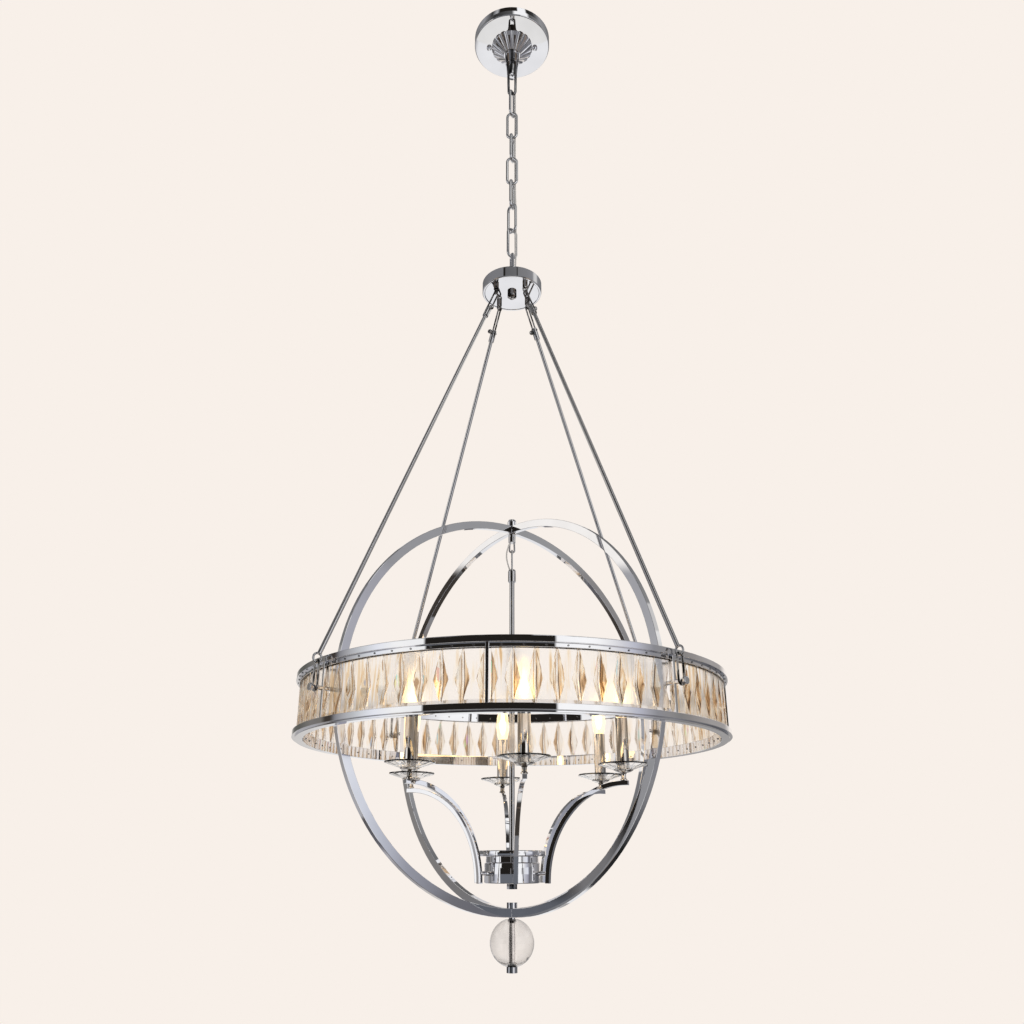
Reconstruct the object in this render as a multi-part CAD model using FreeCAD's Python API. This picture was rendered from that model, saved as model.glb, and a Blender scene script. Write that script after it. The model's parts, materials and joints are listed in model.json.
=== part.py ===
import FreeCAD, Part
import math
import os

# Orb chandelier: a crystal ring with two crossed hoops, hung on four rods from a
# small hub, a chain and a ceiling canopy, with six candle lights inside the orb.
# Millimetres. +Z is up, the origin is on the ceiling at the canopy's centre.
# Azimuths are in degrees from the front (-Y), positive towards +X.

V = FreeCAD.Vector
os.makedirs("parts", exist_ok=True)

# Clearances
SEAT_GAP = 0.15
LINK_GAP = 0.3
BORE_GAP = 0.05

# Ceiling plate and canopy
CROSSBAR_LENGTH = 116.0
CROSSBAR_WIDTH = 20.0
CROSSBAR_THICK = 2.0
BOX_SCREW_SPACING = 69.85
BOX_SLOT_LENGTH = 12.0
BOX_SLOT_WIDTH = 4.4
CANOPY_RADIUS = 84.0
CANOPY_HEIGHT = 24.0
CANOPY_WALL = 1.5
STUD_OFFSET = 51.5
STUD_RADIUS = 2.0
CAP_NUT_RADIUS = 5.5
CAP_NUT_HEIGHT = 8.0
ROSETTE_RADIUS = 45.5
ROSETTE_HEIGHT = 24.0
ROSETTE_FLUTES = 20
FLUTE_RADIUS = 4.0
COLLAR_TOP_RADIUS = 16.0
COLLAR_BOTTOM_RADIUS = 14.0
COLLAR_HEIGHT = 28.0
HOLDER_TOP_RADIUS = 12.8
HOLDER_BOTTOM_RADIUS = 10.8
HOLDER_HEIGHT = 35.0
CANOPY_LOOP_DROP = 54.5
CANOPY_LOOP_FOOT = 8.0
CANOPY_LOOP_BEND = 7.4
CANOPY_LOOP_TURN = -5.0

# Chain: each link's plane is turned from the XZ plane by its own angle
CHAIN_WIRE = 5.6
CHAIN_WIDTH = 25.5
CHAIN_LINK_LENGTH = 73.9
LINK_TURNS = [66.0, -8.0, 75.0, 0.0, 72.0, -42.0, 36.0]
HUB_LOOP_TURN = 104.0
LEAD_RADIUS = 1.6
LEAD_OFFSET = 8.0
LEAD_END_GAP = 0.5

# Upper hub
HUB_RADIUS = 58.5
HUB_HEIGHT = 21.6
HUB_WALL = 2.0
HUB_LIP = 4.0
HUB_COLLAR_RADIUS = 12.0
HUB_COLLAR_HEIGHT = 22.0
HUB_CROWN = 10.0
HUB_LOOP_WIDTH = 21.0
HUB_LOOP_RISE = 43.0
HUB_NUT_RADIUS = 9.0
HUB_NUT_HEIGHT = 11.0

# Suspension between hub and ring
HUB_TO_RING = 774.6
ROD_AZIMUTH = -50.3
SOCKET_PCR = 40.0
SOCKET_RADIUS = 5.0
SOCKET_HEIGHT = 8.0
EYE_RADIUS = 5.0
EYE_WIRE = 3.0
LINK_WIRE = 3.2
TOP_LINK_LENGTH = 58.0
ROD_RADIUS = 3.5
CLEVIS_RADIUS = 5.5
CLEVIS_LENGTH = 24.0
CLEVIS_SLOT = 3.8
CLEVIS_BOLT_RADIUS = 1.8
BOLT_KNOB_RADIUS = 4.5
ROD_FOOT_STANDOFF = 10.0
ROD_EYE_RADIUS = 6.5
ROD_EYE_WIRE = 3.4
STIRRUP_LENGTH = 47.2
STIRRUP_WIDTH = 15.0
STUD_PIN_RADIUS = 3.2
STUD_HEAD_RADIUS = 5.5
STUD_HEAD_LENGTH = 4.0
STUD_REACH = 17.0

# Crystal ring
RING_RADIUS = 350.0
RING_HEIGHT = 100.0
BAND_DEPTH = 4.5
BAND_HEIGHT = 8.4
BAND_INSET = 1.8
LOWER_BAND_RISE = 2.8
CHANNEL_WALL = 1.5
UPPER_CHANNEL = 16.0
LOWER_CHANNEL = 17.8
PIN_DROP = 48.0
CRYSTAL_THICK = 8.4
CRYSTALS_PER_BAY = 9
BAYS = 8
BAY_GAP_DEGREES = 1.2
CRYSTAL_GAP = 0.5
CRYSTAL_BEVEL = 9.4
CRYSTAL_BEVEL_DEPTH = 7.4
CRYSTAL_WAIST = 0.56
CRYSTAL_END_GAP = 0.3
CRYSTAL_SIDE_GAP = 0.6
POST_WIDTH = 4.6
POST_DEPTH = 3.5

# Orb hoops
HOOP_RIM_GAP = 3.0
HOOP_HALF_HEIGHT = 317.0
HOOP_DEPTH = 13.0
HOOP_THICK = 9.0
HOOP_CENTRE_ABOVE_PIN = 9.8
HOOP_BORE_RADIUS = 3.0
SPACER_RADIUS = 3.0

# Pieces on the pole of the orb
POLE_NUT_RADIUS = 8.0
POLE_NUT_HEIGHT = 14.0
COUPLING_RADIUS = 6.4
COUPLING_HEIGHT = 17.2
STEM_LOOP_WIRE = 3.2
STEM_LOOP_WIDTH = 12.0
UPPER_LOOP_DROP = 19.6
LOWER_LOOP_RISE = 37.5
STEM_COUPLING_RADIUS = 6.9
STEM_COUPLING_HEIGHT = 22.0
FREE_LEAD_RADIUS = 1.3

# Light cluster
STEM_RADIUS = 4.4
STEM_WALL = 1.0
ORB_FLOOR_GAP = 18.7
SPOOL_HEIGHT = 47.0
SPOOL_FLANGE_RADIUS = 53.0
SPOOL_FLANGE_HEIGHT = 8.5
SPOOL_NECK_RADIUS = 41.0
SPOOL_NECK_HEIGHT = 9.0
SPOOL_RADIUS = 43.0
SPOOL_NUT_RADIUS = 8.0
SPOOL_NUT_HEIGHT = 8.5
ARMS = 6
FIRST_ARM_AZIMUTH = 5.3
ARM_REACH = 187.0
ARM_FOOT_RADIUS = 60.0
ARM_RISE = 142.0
ARM_BAR = 7.0
ARM_TIP = 7.0
ARM_SCREW_RADIUS = 3.0
ARM_SCREW_RISE = 14.0

# Candle lights
NECK_RADIUS = 5.2
NECK_HEIGHT = 11.0
CUP_RADIUS = 15.0
CUP_HEIGHT = 6.0
DISH_RADIUS = 38.5
DISH_DEPTH = 10.5
DISH_WALL = 2.2
DISH_FACETS = 16
SLEEVE_RADIUS = 9.6
SLEEVE_WALL = 1.0
SLEEVE_HEIGHT = 76.0
SOCKET_BODY_RADIUS = 8.3
SOCKET_DEPTH = 30.0
BULB_RADIUS = 12.0
BULB_LENGTH = 74.0
BULB_BASE_RADIUS = 5.8
BULB_BASE_LENGTH = 18.0

# Bottom finial
FINIAL_NUT_RADIUS = 8.0
FINIAL_NUT_HEIGHT = 8.0
FINIAL_ROD_RADIUS = 3.0
BALL_RADIUS = 33.5
BALL_FLAT = 32.4
BALL_DROP = 2.0
BALL_TUBE_RADIUS = 5.0
END_NUT_RADIUS = 8.2
END_NUT_HEIGHT = 8.0


def save(shape, name):
    """Write one node, a single solid or a group of separate solids."""
    if isinstance(shape, list):
        shape = Part.makeCompound(shape)
    shape.exportStep("parts/" + name + ".step")


def turned(profile):
    """A solid of revolution about Z from (radius, height) points."""
    points = [V(r, 0, z) for r, z in profile]
    wire = Part.makePolygon(points + [points[0]])
    return Part.Face(wire).revolve(V(0, 0, 0), V(0, 0, 1), 360)


def rod(start, end, radius):
    return Part.makeCylinder(radius, (end - start).Length, start, end - start)


def out_to(shape, azimuth):
    """Turn a piece made on the +X side out to its azimuth."""
    piece = shape.copy()
    piece.rotate(V(0, 0, 0), V(0, 0, 1), azimuth - 90)
    return piece


def moved(shape, x, y, z):
    piece = shape.copy()
    piece.translate(V(x, y, z))
    return piece


def hexagon(radius, height, z):
    """A hexagonal nut, across corners 2 x radius, its lower face at z."""
    corners = [V(radius * math.cos(math.radians(a)), radius * math.sin(math.radians(a)), z)
               for a in range(0, 361, 60)]
    corners[-1] = corners[0]
    return Part.Face(Part.makePolygon(corners)).extrude(V(0, 0, height))


def wire_loop(length, width, wire, top_z):
    """A closed oval of round wire in the XZ plane, its outer top at top_z."""
    bend = (width - wire) / 2
    high = top_z - wire / 2 - bend
    low = top_z - length + wire / 2 + bend
    edges = [
        Part.makeLine(V(bend, 0, low), V(bend, 0, high)),
        Part.Arc(V(bend, 0, high), V(0, 0, high + bend), V(-bend, 0, high)).toShape(),
        Part.makeLine(V(-bend, 0, high), V(-bend, 0, low)),
        Part.Arc(V(-bend, 0, low), V(0, 0, low - bend), V(bend, 0, low)).toShape(),
    ]
    section = Part.Wire(Part.makeCircle(wire / 2, V(bend, 0, low), V(0, 0, 1)))
    return Part.Wire(edges).makePipeShell([section], True, False)


def wire_bail(rise, foot, bend, wire, foot_z):
    """A U of round wire in the XZ plane whose legs stand at +-foot on foot_z and
    run tangent into a bend. It hangs below foot_z where rise is negative."""
    side = 1 if rise > 0 else -1
    height = abs(rise) - wire / 2 - bend
    slant = math.atan2(-height, foot)
    touch = slant + math.acos(bend / math.hypot(foot, height))
    out, up = bend * math.cos(touch), side * (height + bend * math.sin(touch))
    crown = V(0, 0, foot_z + rise - side * wire / 2)
    edges = [
        Part.makeLine(V(foot, 0, foot_z), V(out, 0, foot_z + up)),
        Part.Arc(V(out, 0, foot_z + up), crown, V(-out, 0, foot_z + up)).toShape(),
        Part.makeLine(V(-out, 0, foot_z + up), V(-foot, 0, foot_z)),
    ]
    section = Part.Wire(Part.makeCircle(wire / 2, V(foot, 0, foot_z), V(out - foot, 0, up)))
    return Part.Wire(edges).makePipeShell([section], True, False)


def oval_half(half_width, half_height, centre_z):
    """The outline of a hoop as one closed ellipse in the XZ plane."""
    if half_width >= half_height:
        oval = Part.Ellipse(V(0, 0, 0), half_width, half_height)
    else:
        oval = Part.Ellipse(V(0, half_height, 0), V(-half_width, 0, 0), V(0, 0, 0))
    edge = oval.toShape()
    edge.rotate(V(0, 0, 0), V(1, 0, 0), 90)
    edge.translate(V(0, 0, centre_z))
    return Part.Wire(edge)


# Heights down the object, each from the piece above it
canopy_bottom = -CANOPY_HEIGHT
rosette_bottom = canopy_bottom - ROSETTE_HEIGHT
collar_bottom = rosette_bottom - COLLAR_HEIGHT
holder_bottom = collar_bottom - HOLDER_HEIGHT

wire_step = CHAIN_WIRE + LINK_GAP
pivots = [holder_bottom - CANOPY_LOOP_DROP + CHAIN_WIRE / 2]
link_tops = []
for turn in LINK_TURNS:
    link_tops.append(pivots[-1] + wire_step + CHAIN_WIRE / 2)
    pivots.append(link_tops[-1] - CHAIN_LINK_LENGTH + CHAIN_WIRE / 2)

hub_loop_top = pivots[-1] + wire_step + CHAIN_WIRE / 2
hub_collar_top = hub_loop_top - HUB_LOOP_RISE
hub_top = hub_collar_top - HUB_COLLAR_HEIGHT
hub_rim = hub_top - HUB_CROWN
hub_bottom = hub_rim - HUB_HEIGHT

ring_top = hub_bottom - HUB_TO_RING
ring_bottom = ring_top - RING_HEIGHT
pin_z = ring_top - PIN_DROP
hoop_centre_z = pin_z + HOOP_CENTRE_ABOVE_PIN
pole_top = hoop_centre_z + HOOP_HALF_HEIGHT
pole_under = pole_top - HOOP_DEPTH
orb_bottom = hoop_centre_z - HOOP_HALF_HEIGHT
orb_floor = orb_bottom + HOOP_DEPTH
rod_foot = RING_RADIUS + ROD_FOOT_STANDOFF


# Ceiling crossbar with two slots for the outlet box screws and two stud holes
bar = Part.makeBox(CROSSBAR_LENGTH, CROSSBAR_WIDTH, CROSSBAR_THICK,
                   V(-CROSSBAR_LENGTH / 2, -CROSSBAR_WIDTH / 2, -CROSSBAR_THICK))
studs, cap_nuts = [], []
stud_foot = canopy_bottom - CAP_NUT_HEIGHT * 0.6
for side in (-1, 1):
    slot_x = side * BOX_SCREW_SPACING / 2
    straight = BOX_SLOT_LENGTH - BOX_SLOT_WIDTH
    slot = Part.makeBox(straight, BOX_SLOT_WIDTH, CROSSBAR_THICK * 3,
                        V(slot_x - straight / 2, -BOX_SLOT_WIDTH / 2, -CROSSBAR_THICK * 2))
    for end in (-1, 1):
        round_end = Part.makeCylinder(BOX_SLOT_WIDTH / 2, CROSSBAR_THICK * 3,
                                      V(slot_x + end * straight / 2, 0, -CROSSBAR_THICK * 2))
        slot = slot.fuse(round_end)
    bar = bar.cut(slot.removeSplitter())
    stud_x = side * STUD_OFFSET
    bar = bar.cut(Part.makeCylinder(STUD_RADIUS + BORE_GAP, CROSSBAR_THICK * 3,
                                    V(stud_x, 0, -CROSSBAR_THICK * 2)))
    studs.append(rod(V(stud_x, 0, -0.2), V(stud_x, 0, stud_foot), STUD_RADIUS))
    nut = turned([(0, -CAP_NUT_HEIGHT), (CAP_NUT_RADIUS * 0.55, -CAP_NUT_HEIGHT * 0.93),
                  (CAP_NUT_RADIUS * 0.9, -CAP_NUT_HEIGHT * 0.6), (CAP_NUT_RADIUS, -CAP_NUT_HEIGHT * 0.3),
                  (CAP_NUT_RADIUS, 0), (STUD_RADIUS + BORE_GAP, 0),
                  (STUD_RADIUS + BORE_GAP, -CAP_NUT_HEIGHT * 0.62), (0, -CAP_NUT_HEIGHT * 0.62)])
    cap_nuts.append(moved(nut, stud_x, 0, canopy_bottom))
save(bar, "crossbar")
save(studs, "canopy_studs")
save(cap_nuts, "canopy_cap_nuts")

# Canopy pan: a shallow cup that closes against the ceiling
tube_radius = 5.0
pan = turned([(tube_radius + BORE_GAP, canopy_bottom), (CANOPY_RADIUS - 1.5, canopy_bottom),
              (CANOPY_RADIUS, canopy_bottom + 1.5), (CANOPY_RADIUS, 0),
              (CANOPY_RADIUS - CANOPY_WALL, 0),
              (CANOPY_RADIUS - CANOPY_WALL, canopy_bottom + CANOPY_WALL),
              (tube_radius + BORE_GAP, canopy_bottom + CANOPY_WALL)])
for side in (-1, 1):
    pan = pan.cut(Part.makeCylinder(STUD_RADIUS + BORE_GAP, CANOPY_WALL * 4,
                                    V(side * STUD_OFFSET, 0, canopy_bottom - CANOPY_WALL)))
save(pan, "canopy_pan")

# Fluted rosette under the pan
rosette = turned([(tube_radius + BORE_GAP, rosette_bottom), (COLLAR_TOP_RADIUS + 2, rosette_bottom),
                  (ROSETTE_RADIUS * 0.62, rosette_bottom + ROSETTE_HEIGHT * 0.32),
                  (ROSETTE_RADIUS * 0.88, rosette_bottom + ROSETTE_HEIGHT * 0.66),
                  (ROSETTE_RADIUS, rosette_bottom + ROSETTE_HEIGHT * 0.86),
                  (ROSETTE_RADIUS, canopy_bottom), (tube_radius + BORE_GAP, canopy_bottom)])
flute_from = V(COLLAR_TOP_RADIUS + 4, 0, rosette_bottom - FLUTE_RADIUS * 0.45)
flute_to = V(ROSETTE_RADIUS + 4, 0, canopy_bottom - FLUTE_RADIUS * 0.45)
for number in range(ROSETTE_FLUTES):
    flute = out_to(rod(flute_from, flute_to, FLUTE_RADIUS), number * 360 / ROSETTE_FLUTES)
    rosette = rosette.cut(flute)
save(rosette, "canopy_rosette")

# Turned collar that clamps the rosette, and the tapered holder screwed through it
collar = turned([(tube_radius + BORE_GAP, collar_bottom), (COLLAR_BOTTOM_RADIUS, collar_bottom),
                 (COLLAR_BOTTOM_RADIUS, collar_bottom + 3),
                 (COLLAR_TOP_RADIUS, rosette_bottom - 3), (COLLAR_TOP_RADIUS, rosette_bottom),
                 (tube_radius + BORE_GAP, rosette_bottom)])
save(collar, "canopy_collar")
tube_top = canopy_bottom + CANOPY_WALL + 5
holder = turned([(0, holder_bottom), (HOLDER_BOTTOM_RADIUS - 1, holder_bottom),
                 (HOLDER_BOTTOM_RADIUS, holder_bottom + 1), (HOLDER_TOP_RADIUS, collar_bottom - 3),
                 (HOLDER_TOP_RADIUS, collar_bottom), (tube_radius, collar_bottom),
                 (tube_radius, tube_top), (0, tube_top)])
canopy_loop = wire_bail(-CANOPY_LOOP_DROP - 1, CANOPY_LOOP_FOOT, CANOPY_LOOP_BEND, CHAIN_WIRE,
                        holder_bottom + 1)
canopy_loop.rotate(V(0, 0, 0), V(0, 0, 1), CANOPY_LOOP_TURN)
save(holder.fuse(canopy_loop), "canopy_loop")

# Chain links
for number, turn in enumerate(LINK_TURNS):
    link = wire_loop(CHAIN_LINK_LENGTH, CHAIN_WIDTH, CHAIN_WIRE, link_tops[number])
    link.rotate(V(0, 0, 0), V(0, 0, 1), turn)
    save(link, "chain_link_" + str(number + 1))

# Hub loop, collar and its threaded tube, one piece
hub_tube = rod(V(0, 0, hub_collar_top - 1), V(0, 0, hub_bottom - HUB_NUT_HEIGHT * 0.7), tube_radius)
hub_collar = turned([(0, hub_top), (HUB_COLLAR_RADIUS, hub_top),
                     (HUB_COLLAR_RADIUS, hub_top + HUB_COLLAR_HEIGHT * 0.7),
                     (HUB_COLLAR_RADIUS - 2, hub_collar_top), (0, hub_collar_top)])
hub_foot = (HUB_LOOP_WIDTH - CHAIN_WIRE) / 2
hub_bail = wire_bail(HUB_LOOP_RISE + 2, hub_foot - 0.4, hub_foot, CHAIN_WIRE, hub_collar_top - 2)
hub_bail.rotate(V(0, 0, 0), V(0, 0, 1), HUB_LOOP_TURN)
save(hub_collar.fuse(hub_tube).fuse(hub_bail), "hub_loop")

# Hub: a flat drum with a rolled lip below, closed by a lid on top
drum = turned([(tube_radius + BORE_GAP, hub_bottom + HUB_WALL), (tube_radius + BORE_GAP, hub_bottom),
               (HUB_RADIUS - HUB_LIP - 1.2, hub_bottom), (HUB_RADIUS - HUB_LIP, hub_bottom - 1.0),
               (HUB_RADIUS - 1.2, hub_bottom - 1.0), (HUB_RADIUS, hub_bottom + 0.6),
               (HUB_RADIUS, hub_rim), (HUB_RADIUS - HUB_WALL, hub_rim),
               (HUB_RADIUS - HUB_WALL, hub_bottom + HUB_WALL)])
save(drum, "hub_drum")
lid = turned([(tube_radius + BORE_GAP, hub_top - HUB_WALL), (HUB_COLLAR_RADIUS + 4, hub_top - HUB_WALL),
              (HUB_RADIUS - 4, hub_rim), (HUB_RADIUS, hub_rim), (HUB_RADIUS - 1.5, hub_rim + 1.5),
              (HUB_COLLAR_RADIUS + 4, hub_top), (tube_radius + BORE_GAP, hub_top)])
save(lid, "hub_lid")
hub_nut = turned([(tube_radius + BORE_GAP, hub_bottom), (HUB_NUT_RADIUS, hub_bottom),
                  (HUB_NUT_RADIUS, hub_bottom - HUB_NUT_HEIGHT * 0.7),
                  (HUB_NUT_RADIUS * 0.6, hub_bottom - HUB_NUT_HEIGHT), (0, hub_bottom - HUB_NUT_HEIGHT),
                  (0, hub_bottom - HUB_NUT_HEIGHT * 0.72),
                  (tube_radius + BORE_GAP, hub_bottom - HUB_NUT_HEIGHT * 0.72)])
save(hub_nut, "hub_nut")

# Suspension, worked out once in the XZ plane and copied to four azimuths
eye_z = hub_bottom - SOCKET_HEIGHT - EYE_RADIUS
eye = Part.makeTorus(EYE_RADIUS, EYE_WIRE / 2, V(SOCKET_PCR, 0, eye_z), V(1, 0, 0))
eye_socket = Part.makeCylinder(SOCKET_RADIUS, SOCKET_HEIGHT, V(SOCKET_PCR, 0, hub_bottom - SOCKET_HEIGHT))
hub_eye = eye_socket.fuse(eye)
eye_wire_z = eye_z - EYE_RADIUS

stirrup_top_z = pin_z - STUD_PIN_RADIUS - SEAT_GAP - LINK_WIRE + STIRRUP_LENGTH
rod_eye_wire_z = stirrup_top_z - LINK_WIRE - SEAT_GAP - ROD_EYE_WIRE / 2
rod_eye = V(rod_foot, 0, rod_eye_wire_z + ROD_EYE_RADIUS)

top_grip = V(SOCKET_PCR, 0, eye_wire_z)
fall = (rod_eye - top_grip).normalize()
lean = math.degrees(math.atan2(fall.x, -fall.z))

# The top link hangs along the rod's line, round the eye above and the bolt below
link_start = EYE_WIRE / 2 + LINK_WIRE + SEAT_GAP
top_link = wire_loop(TOP_LINK_LENGTH, 2 * (CLEVIS_BOLT_RADIUS + LINK_WIRE + 0.6), LINK_WIRE, link_start)
top_link.rotate(V(0, 0, 0), V(0, 1, 0), -lean)
top_link.translate(top_grip)
bolt_drop = TOP_LINK_LENGTH - link_start - LINK_WIRE - SEAT_GAP - CLEVIS_BOLT_RADIUS
bolt = top_grip + fall * bolt_drop
clevis_top = bolt - fall * (CLEVIS_BOLT_RADIUS + 2.5)
clevis_foot = clevis_top + fall * CLEVIS_LENGTH
rod_length = (rod_eye - top_grip).Length
clevis = rod(clevis_top, clevis_foot, CLEVIS_RADIUS)
slot = Part.makeBox(CLEVIS_RADIUS * 4, CLEVIS_SLOT, 20.0, V(-CLEVIS_RADIUS * 2, -CLEVIS_SLOT / 2, -10))
slot.rotate(V(0, 0, 0), V(0, 1, 0), -lean)
slot.translate(bolt)
clevis = clevis.cut(slot)
clevis = clevis.cut(rod(bolt - V(0, 9, 0), bolt + V(0, 9, 0), CLEVIS_BOLT_RADIUS + BORE_GAP))
shaft = rod(clevis_foot - fall * 1.0, rod_eye - fall * (ROD_EYE_RADIUS - 0.4), ROD_RADIUS)
foot_eye = Part.makeTorus(ROD_EYE_RADIUS, ROD_EYE_WIRE / 2, rod_eye, V(0, 1, 0))
suspension_rod = clevis.fuse(shaft).fuse(foot_eye)
bolt_pin = rod(bolt - V(0, CLEVIS_RADIUS + 1.5, 0), bolt + V(0, CLEVIS_RADIUS, 0), CLEVIS_BOLT_RADIUS)
knob = Part.makeSphere(BOLT_KNOB_RADIUS, bolt + V(0, CLEVIS_RADIUS + BOLT_KNOB_RADIUS * 0.75, 0))
knob = knob.cut(Part.makeBox(20, 10, 20, bolt + V(-10, CLEVIS_RADIUS - 9.9, -10)))
rod_bolt = bolt_pin.fuse(knob)
stirrup = wire_loop(STIRRUP_LENGTH, STIRRUP_WIDTH, LINK_WIRE, stirrup_top_z)
stirrup.rotate(V(0, 0, 0), V(0, 0, 1), 90)
stirrup.translate(V(rod_foot, 0, 0))

rod_azimuths = [ROD_AZIMUTH + 90 * n for n in range(4)]
save([out_to(hub_eye, a) for a in rod_azimuths], "hub_eyes")
save([out_to(top_link, a) for a in rod_azimuths], "rod_top_links")
save([out_to(suspension_rod, a) for a in rod_azimuths], "suspension_rods")
save([out_to(rod_bolt, a) for a in rod_azimuths], "rod_bolts")
save([out_to(stirrup, a) for a in rod_azimuths], "rod_stirrups")

# Ring rims: a channel that grips the crystals, with a flat band round its outside
channel_out = RING_RADIUS - BAND_DEPTH
crystal_out = channel_out - CHANNEL_WALL - CRYSTAL_SIDE_GAP
crystal_in = crystal_out - CRYSTAL_THICK
channel_in = crystal_in - CRYSTAL_SIDE_GAP - CHANNEL_WALL
hoop_half_width = channel_in - HOOP_RIM_GAP
upper_lip = ring_top - UPPER_CHANNEL
lower_lip = ring_bottom + LOWER_CHANNEL
upper_band = ring_top - BAND_INSET
lower_band = ring_bottom + LOWER_BAND_RISE
upper_rim = turned([(channel_in, upper_lip), (channel_in + CHANNEL_WALL, upper_lip),
                    (channel_in + CHANNEL_WALL, ring_top - CHANNEL_WALL),
                    (channel_out - CHANNEL_WALL, ring_top - CHANNEL_WALL),
                    (channel_out - CHANNEL_WALL, upper_lip), (channel_out, upper_lip),
                    (channel_out, upper_band - BAND_HEIGHT), (RING_RADIUS, upper_band - BAND_HEIGHT),
                    (RING_RADIUS, upper_band), (channel_out, upper_band), (channel_out, ring_top),
                    (channel_in, ring_top)])
save(upper_rim, "upper_rim")
lower_wall = lower_band + BAND_HEIGHT
lower_rim = turned([(channel_in, lower_lip), (channel_in + CHANNEL_WALL, lower_lip),
                    (channel_in + CHANNEL_WALL, ring_bottom + CHANNEL_WALL),
                    (channel_out - CHANNEL_WALL, ring_bottom + CHANNEL_WALL),
                    (channel_out - CHANNEL_WALL, lower_wall), (RING_RADIUS, lower_wall),
                    (RING_RADIUS, lower_band), (channel_out, lower_band), (channel_out, ring_bottom),
                    (channel_in, ring_bottom)])
save(lower_rim, "lower_rim")

# Crystals: clear blocks whose front corners are cut back most at the waist
bay = 360.0 / BAYS
crystal_step = (bay - BAY_GAP_DEGREES) / CRYSTALS_PER_BAY
half_width = crystal_in * math.tan(math.radians(crystal_step / 2)) - CRYSTAL_GAP / 2
crystal_top = ring_top - CHANNEL_WALL - CRYSTAL_END_GAP
crystal_bottom = ring_bottom + CHANNEL_WALL + CRYSTAL_END_GAP
crystal_mid = upper_lip + (lower_wall - upper_lip) * CRYSTAL_WAIST


def crystal_block():
    outline = [(half_width, crystal_top), (half_width, upper_lip),
               (half_width - CRYSTAL_BEVEL, crystal_mid), (half_width, lower_wall),
               (half_width, crystal_bottom)]
    front = [V(crystal_out, y, z) for y, z in outline]
    front += [V(crystal_out, -y, z) for y, z in reversed(outline)]
    faces = [Part.Face(Part.makePolygon(front + [front[0]]))]
    for side in (-1, 1):
        edge = side * half_width
        high, low = V(crystal_out, edge, upper_lip), V(crystal_out, edge, lower_wall)
        notch = V(crystal_out, edge - side * CRYSTAL_BEVEL, crystal_mid)
        deep = V(crystal_out - CRYSTAL_BEVEL_DEPTH, edge, crystal_mid)
        faces.append(Part.Face(Part.makePolygon([high, notch, deep, high])))
        faces.append(Part.Face(Part.makePolygon([low, notch, deep, low])))
        wall = [V(crystal_out, edge, crystal_top), high, deep, low, V(crystal_out, edge, crystal_bottom),
                V(crystal_in, edge, crystal_bottom), V(crystal_in, edge, crystal_top)]
        faces.append(Part.Face(Part.makePolygon(wall + [wall[0]])))
    for z in (crystal_bottom, crystal_top):
        end = [V(crystal_in, -half_width, z), V(crystal_out, -half_width, z),
               V(crystal_out, half_width, z), V(crystal_in, half_width, z)]
        faces.append(Part.Face(Part.makePolygon(end + [end[0]])))
    back = [V(crystal_in, -half_width, crystal_bottom), V(crystal_in, half_width, crystal_bottom),
            V(crystal_in, half_width, crystal_top), V(crystal_in, -half_width, crystal_top)]
    faces.append(Part.Face(Part.makePolygon(back + [back[0]])))
    shell = Part.Shell(faces)
    shell.sewShape()
    block = Part.Solid(shell)
    if block.Volume < 0:
        block.reverse()
    return block


crystal = crystal_block()
for quarter in range(4):
    blocks = []
    for half in range(BAYS // 4):
        bay_start = ROD_AZIMUTH + 90 * quarter + bay * half + BAY_GAP_DEGREES / 2
        for number in range(CRYSTALS_PER_BAY):
            blocks.append(out_to(crystal, bay_start + crystal_step * (number + 0.5)))
    save(blocks, "crystals_" + str(quarter + 1))

# Posts between the two bands, the hoop spacers behind them and the studs in front
post = Part.makeBox(POST_DEPTH, POST_WIDTH, upper_band - BAND_HEIGHT - lower_wall,
                    V(channel_out, -POST_WIDTH / 2, lower_wall))
save([out_to(post, ROD_AZIMUTH + bay * n) for n in range(BAYS)], "ring_posts")
post_face = channel_out + POST_DEPTH
hoop_at_pin = hoop_half_width * math.sqrt(1 - (HOOP_CENTRE_ABOVE_PIN / HOOP_HALF_HEIGHT) ** 2)
spacer = rod(V(hoop_at_pin + SEAT_GAP, 0, pin_z), V(channel_out, 0, pin_z), SPACER_RADIUS)
pin_end = post_face + STUD_REACH
stud = rod(V(post_face, 0, pin_z), V(pin_end, 0, pin_z), STUD_PIN_RADIUS)
stud_head = rod(V(pin_end, 0, pin_z), V(pin_end + STUD_HEAD_LENGTH, 0, pin_z), STUD_HEAD_RADIUS)
stud = stud.fuse(stud_head.makeFillet(1.2, [stud_head.Edges[0]]))
save([out_to(s, a) for a in rod_azimuths for s in (spacer, stud)], "ring_studs")

# Hoops: flat oval rings that cross at the poles in a half lap, bored for the rods
outer = oval_half(hoop_half_width, HOOP_HALF_HEIGHT, hoop_centre_z)
inner = oval_half(hoop_half_width - HOOP_DEPTH, HOOP_HALF_HEIGHT - HOOP_DEPTH, hoop_centre_z)
hoop_face = Part.Face(outer).cut(Part.Face(inner))
hoop = hoop_face.extrude(V(0, HOOP_THICK, 0))
hoop.translate(V(0, -HOOP_THICK / 2, 0))
bore = Part.makeCylinder(HOOP_BORE_RADIUS + BORE_GAP, 2.4 * HOOP_HALF_HEIGHT,
                         V(0, 0, orb_bottom - HOOP_HALF_HEIGHT * 0.2))
lap = HOOP_THICK + 2 * BORE_GAP
lap_height = HOOP_DEPTH / 2
notch_high = [Part.makeBox(lap, lap, lap_height + 5, V(-lap / 2, -lap / 2, pole_under + lap_height)),
              Part.makeBox(lap, lap, lap_height + 5, V(-lap / 2, -lap / 2, orb_bottom + lap_height))]
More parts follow.
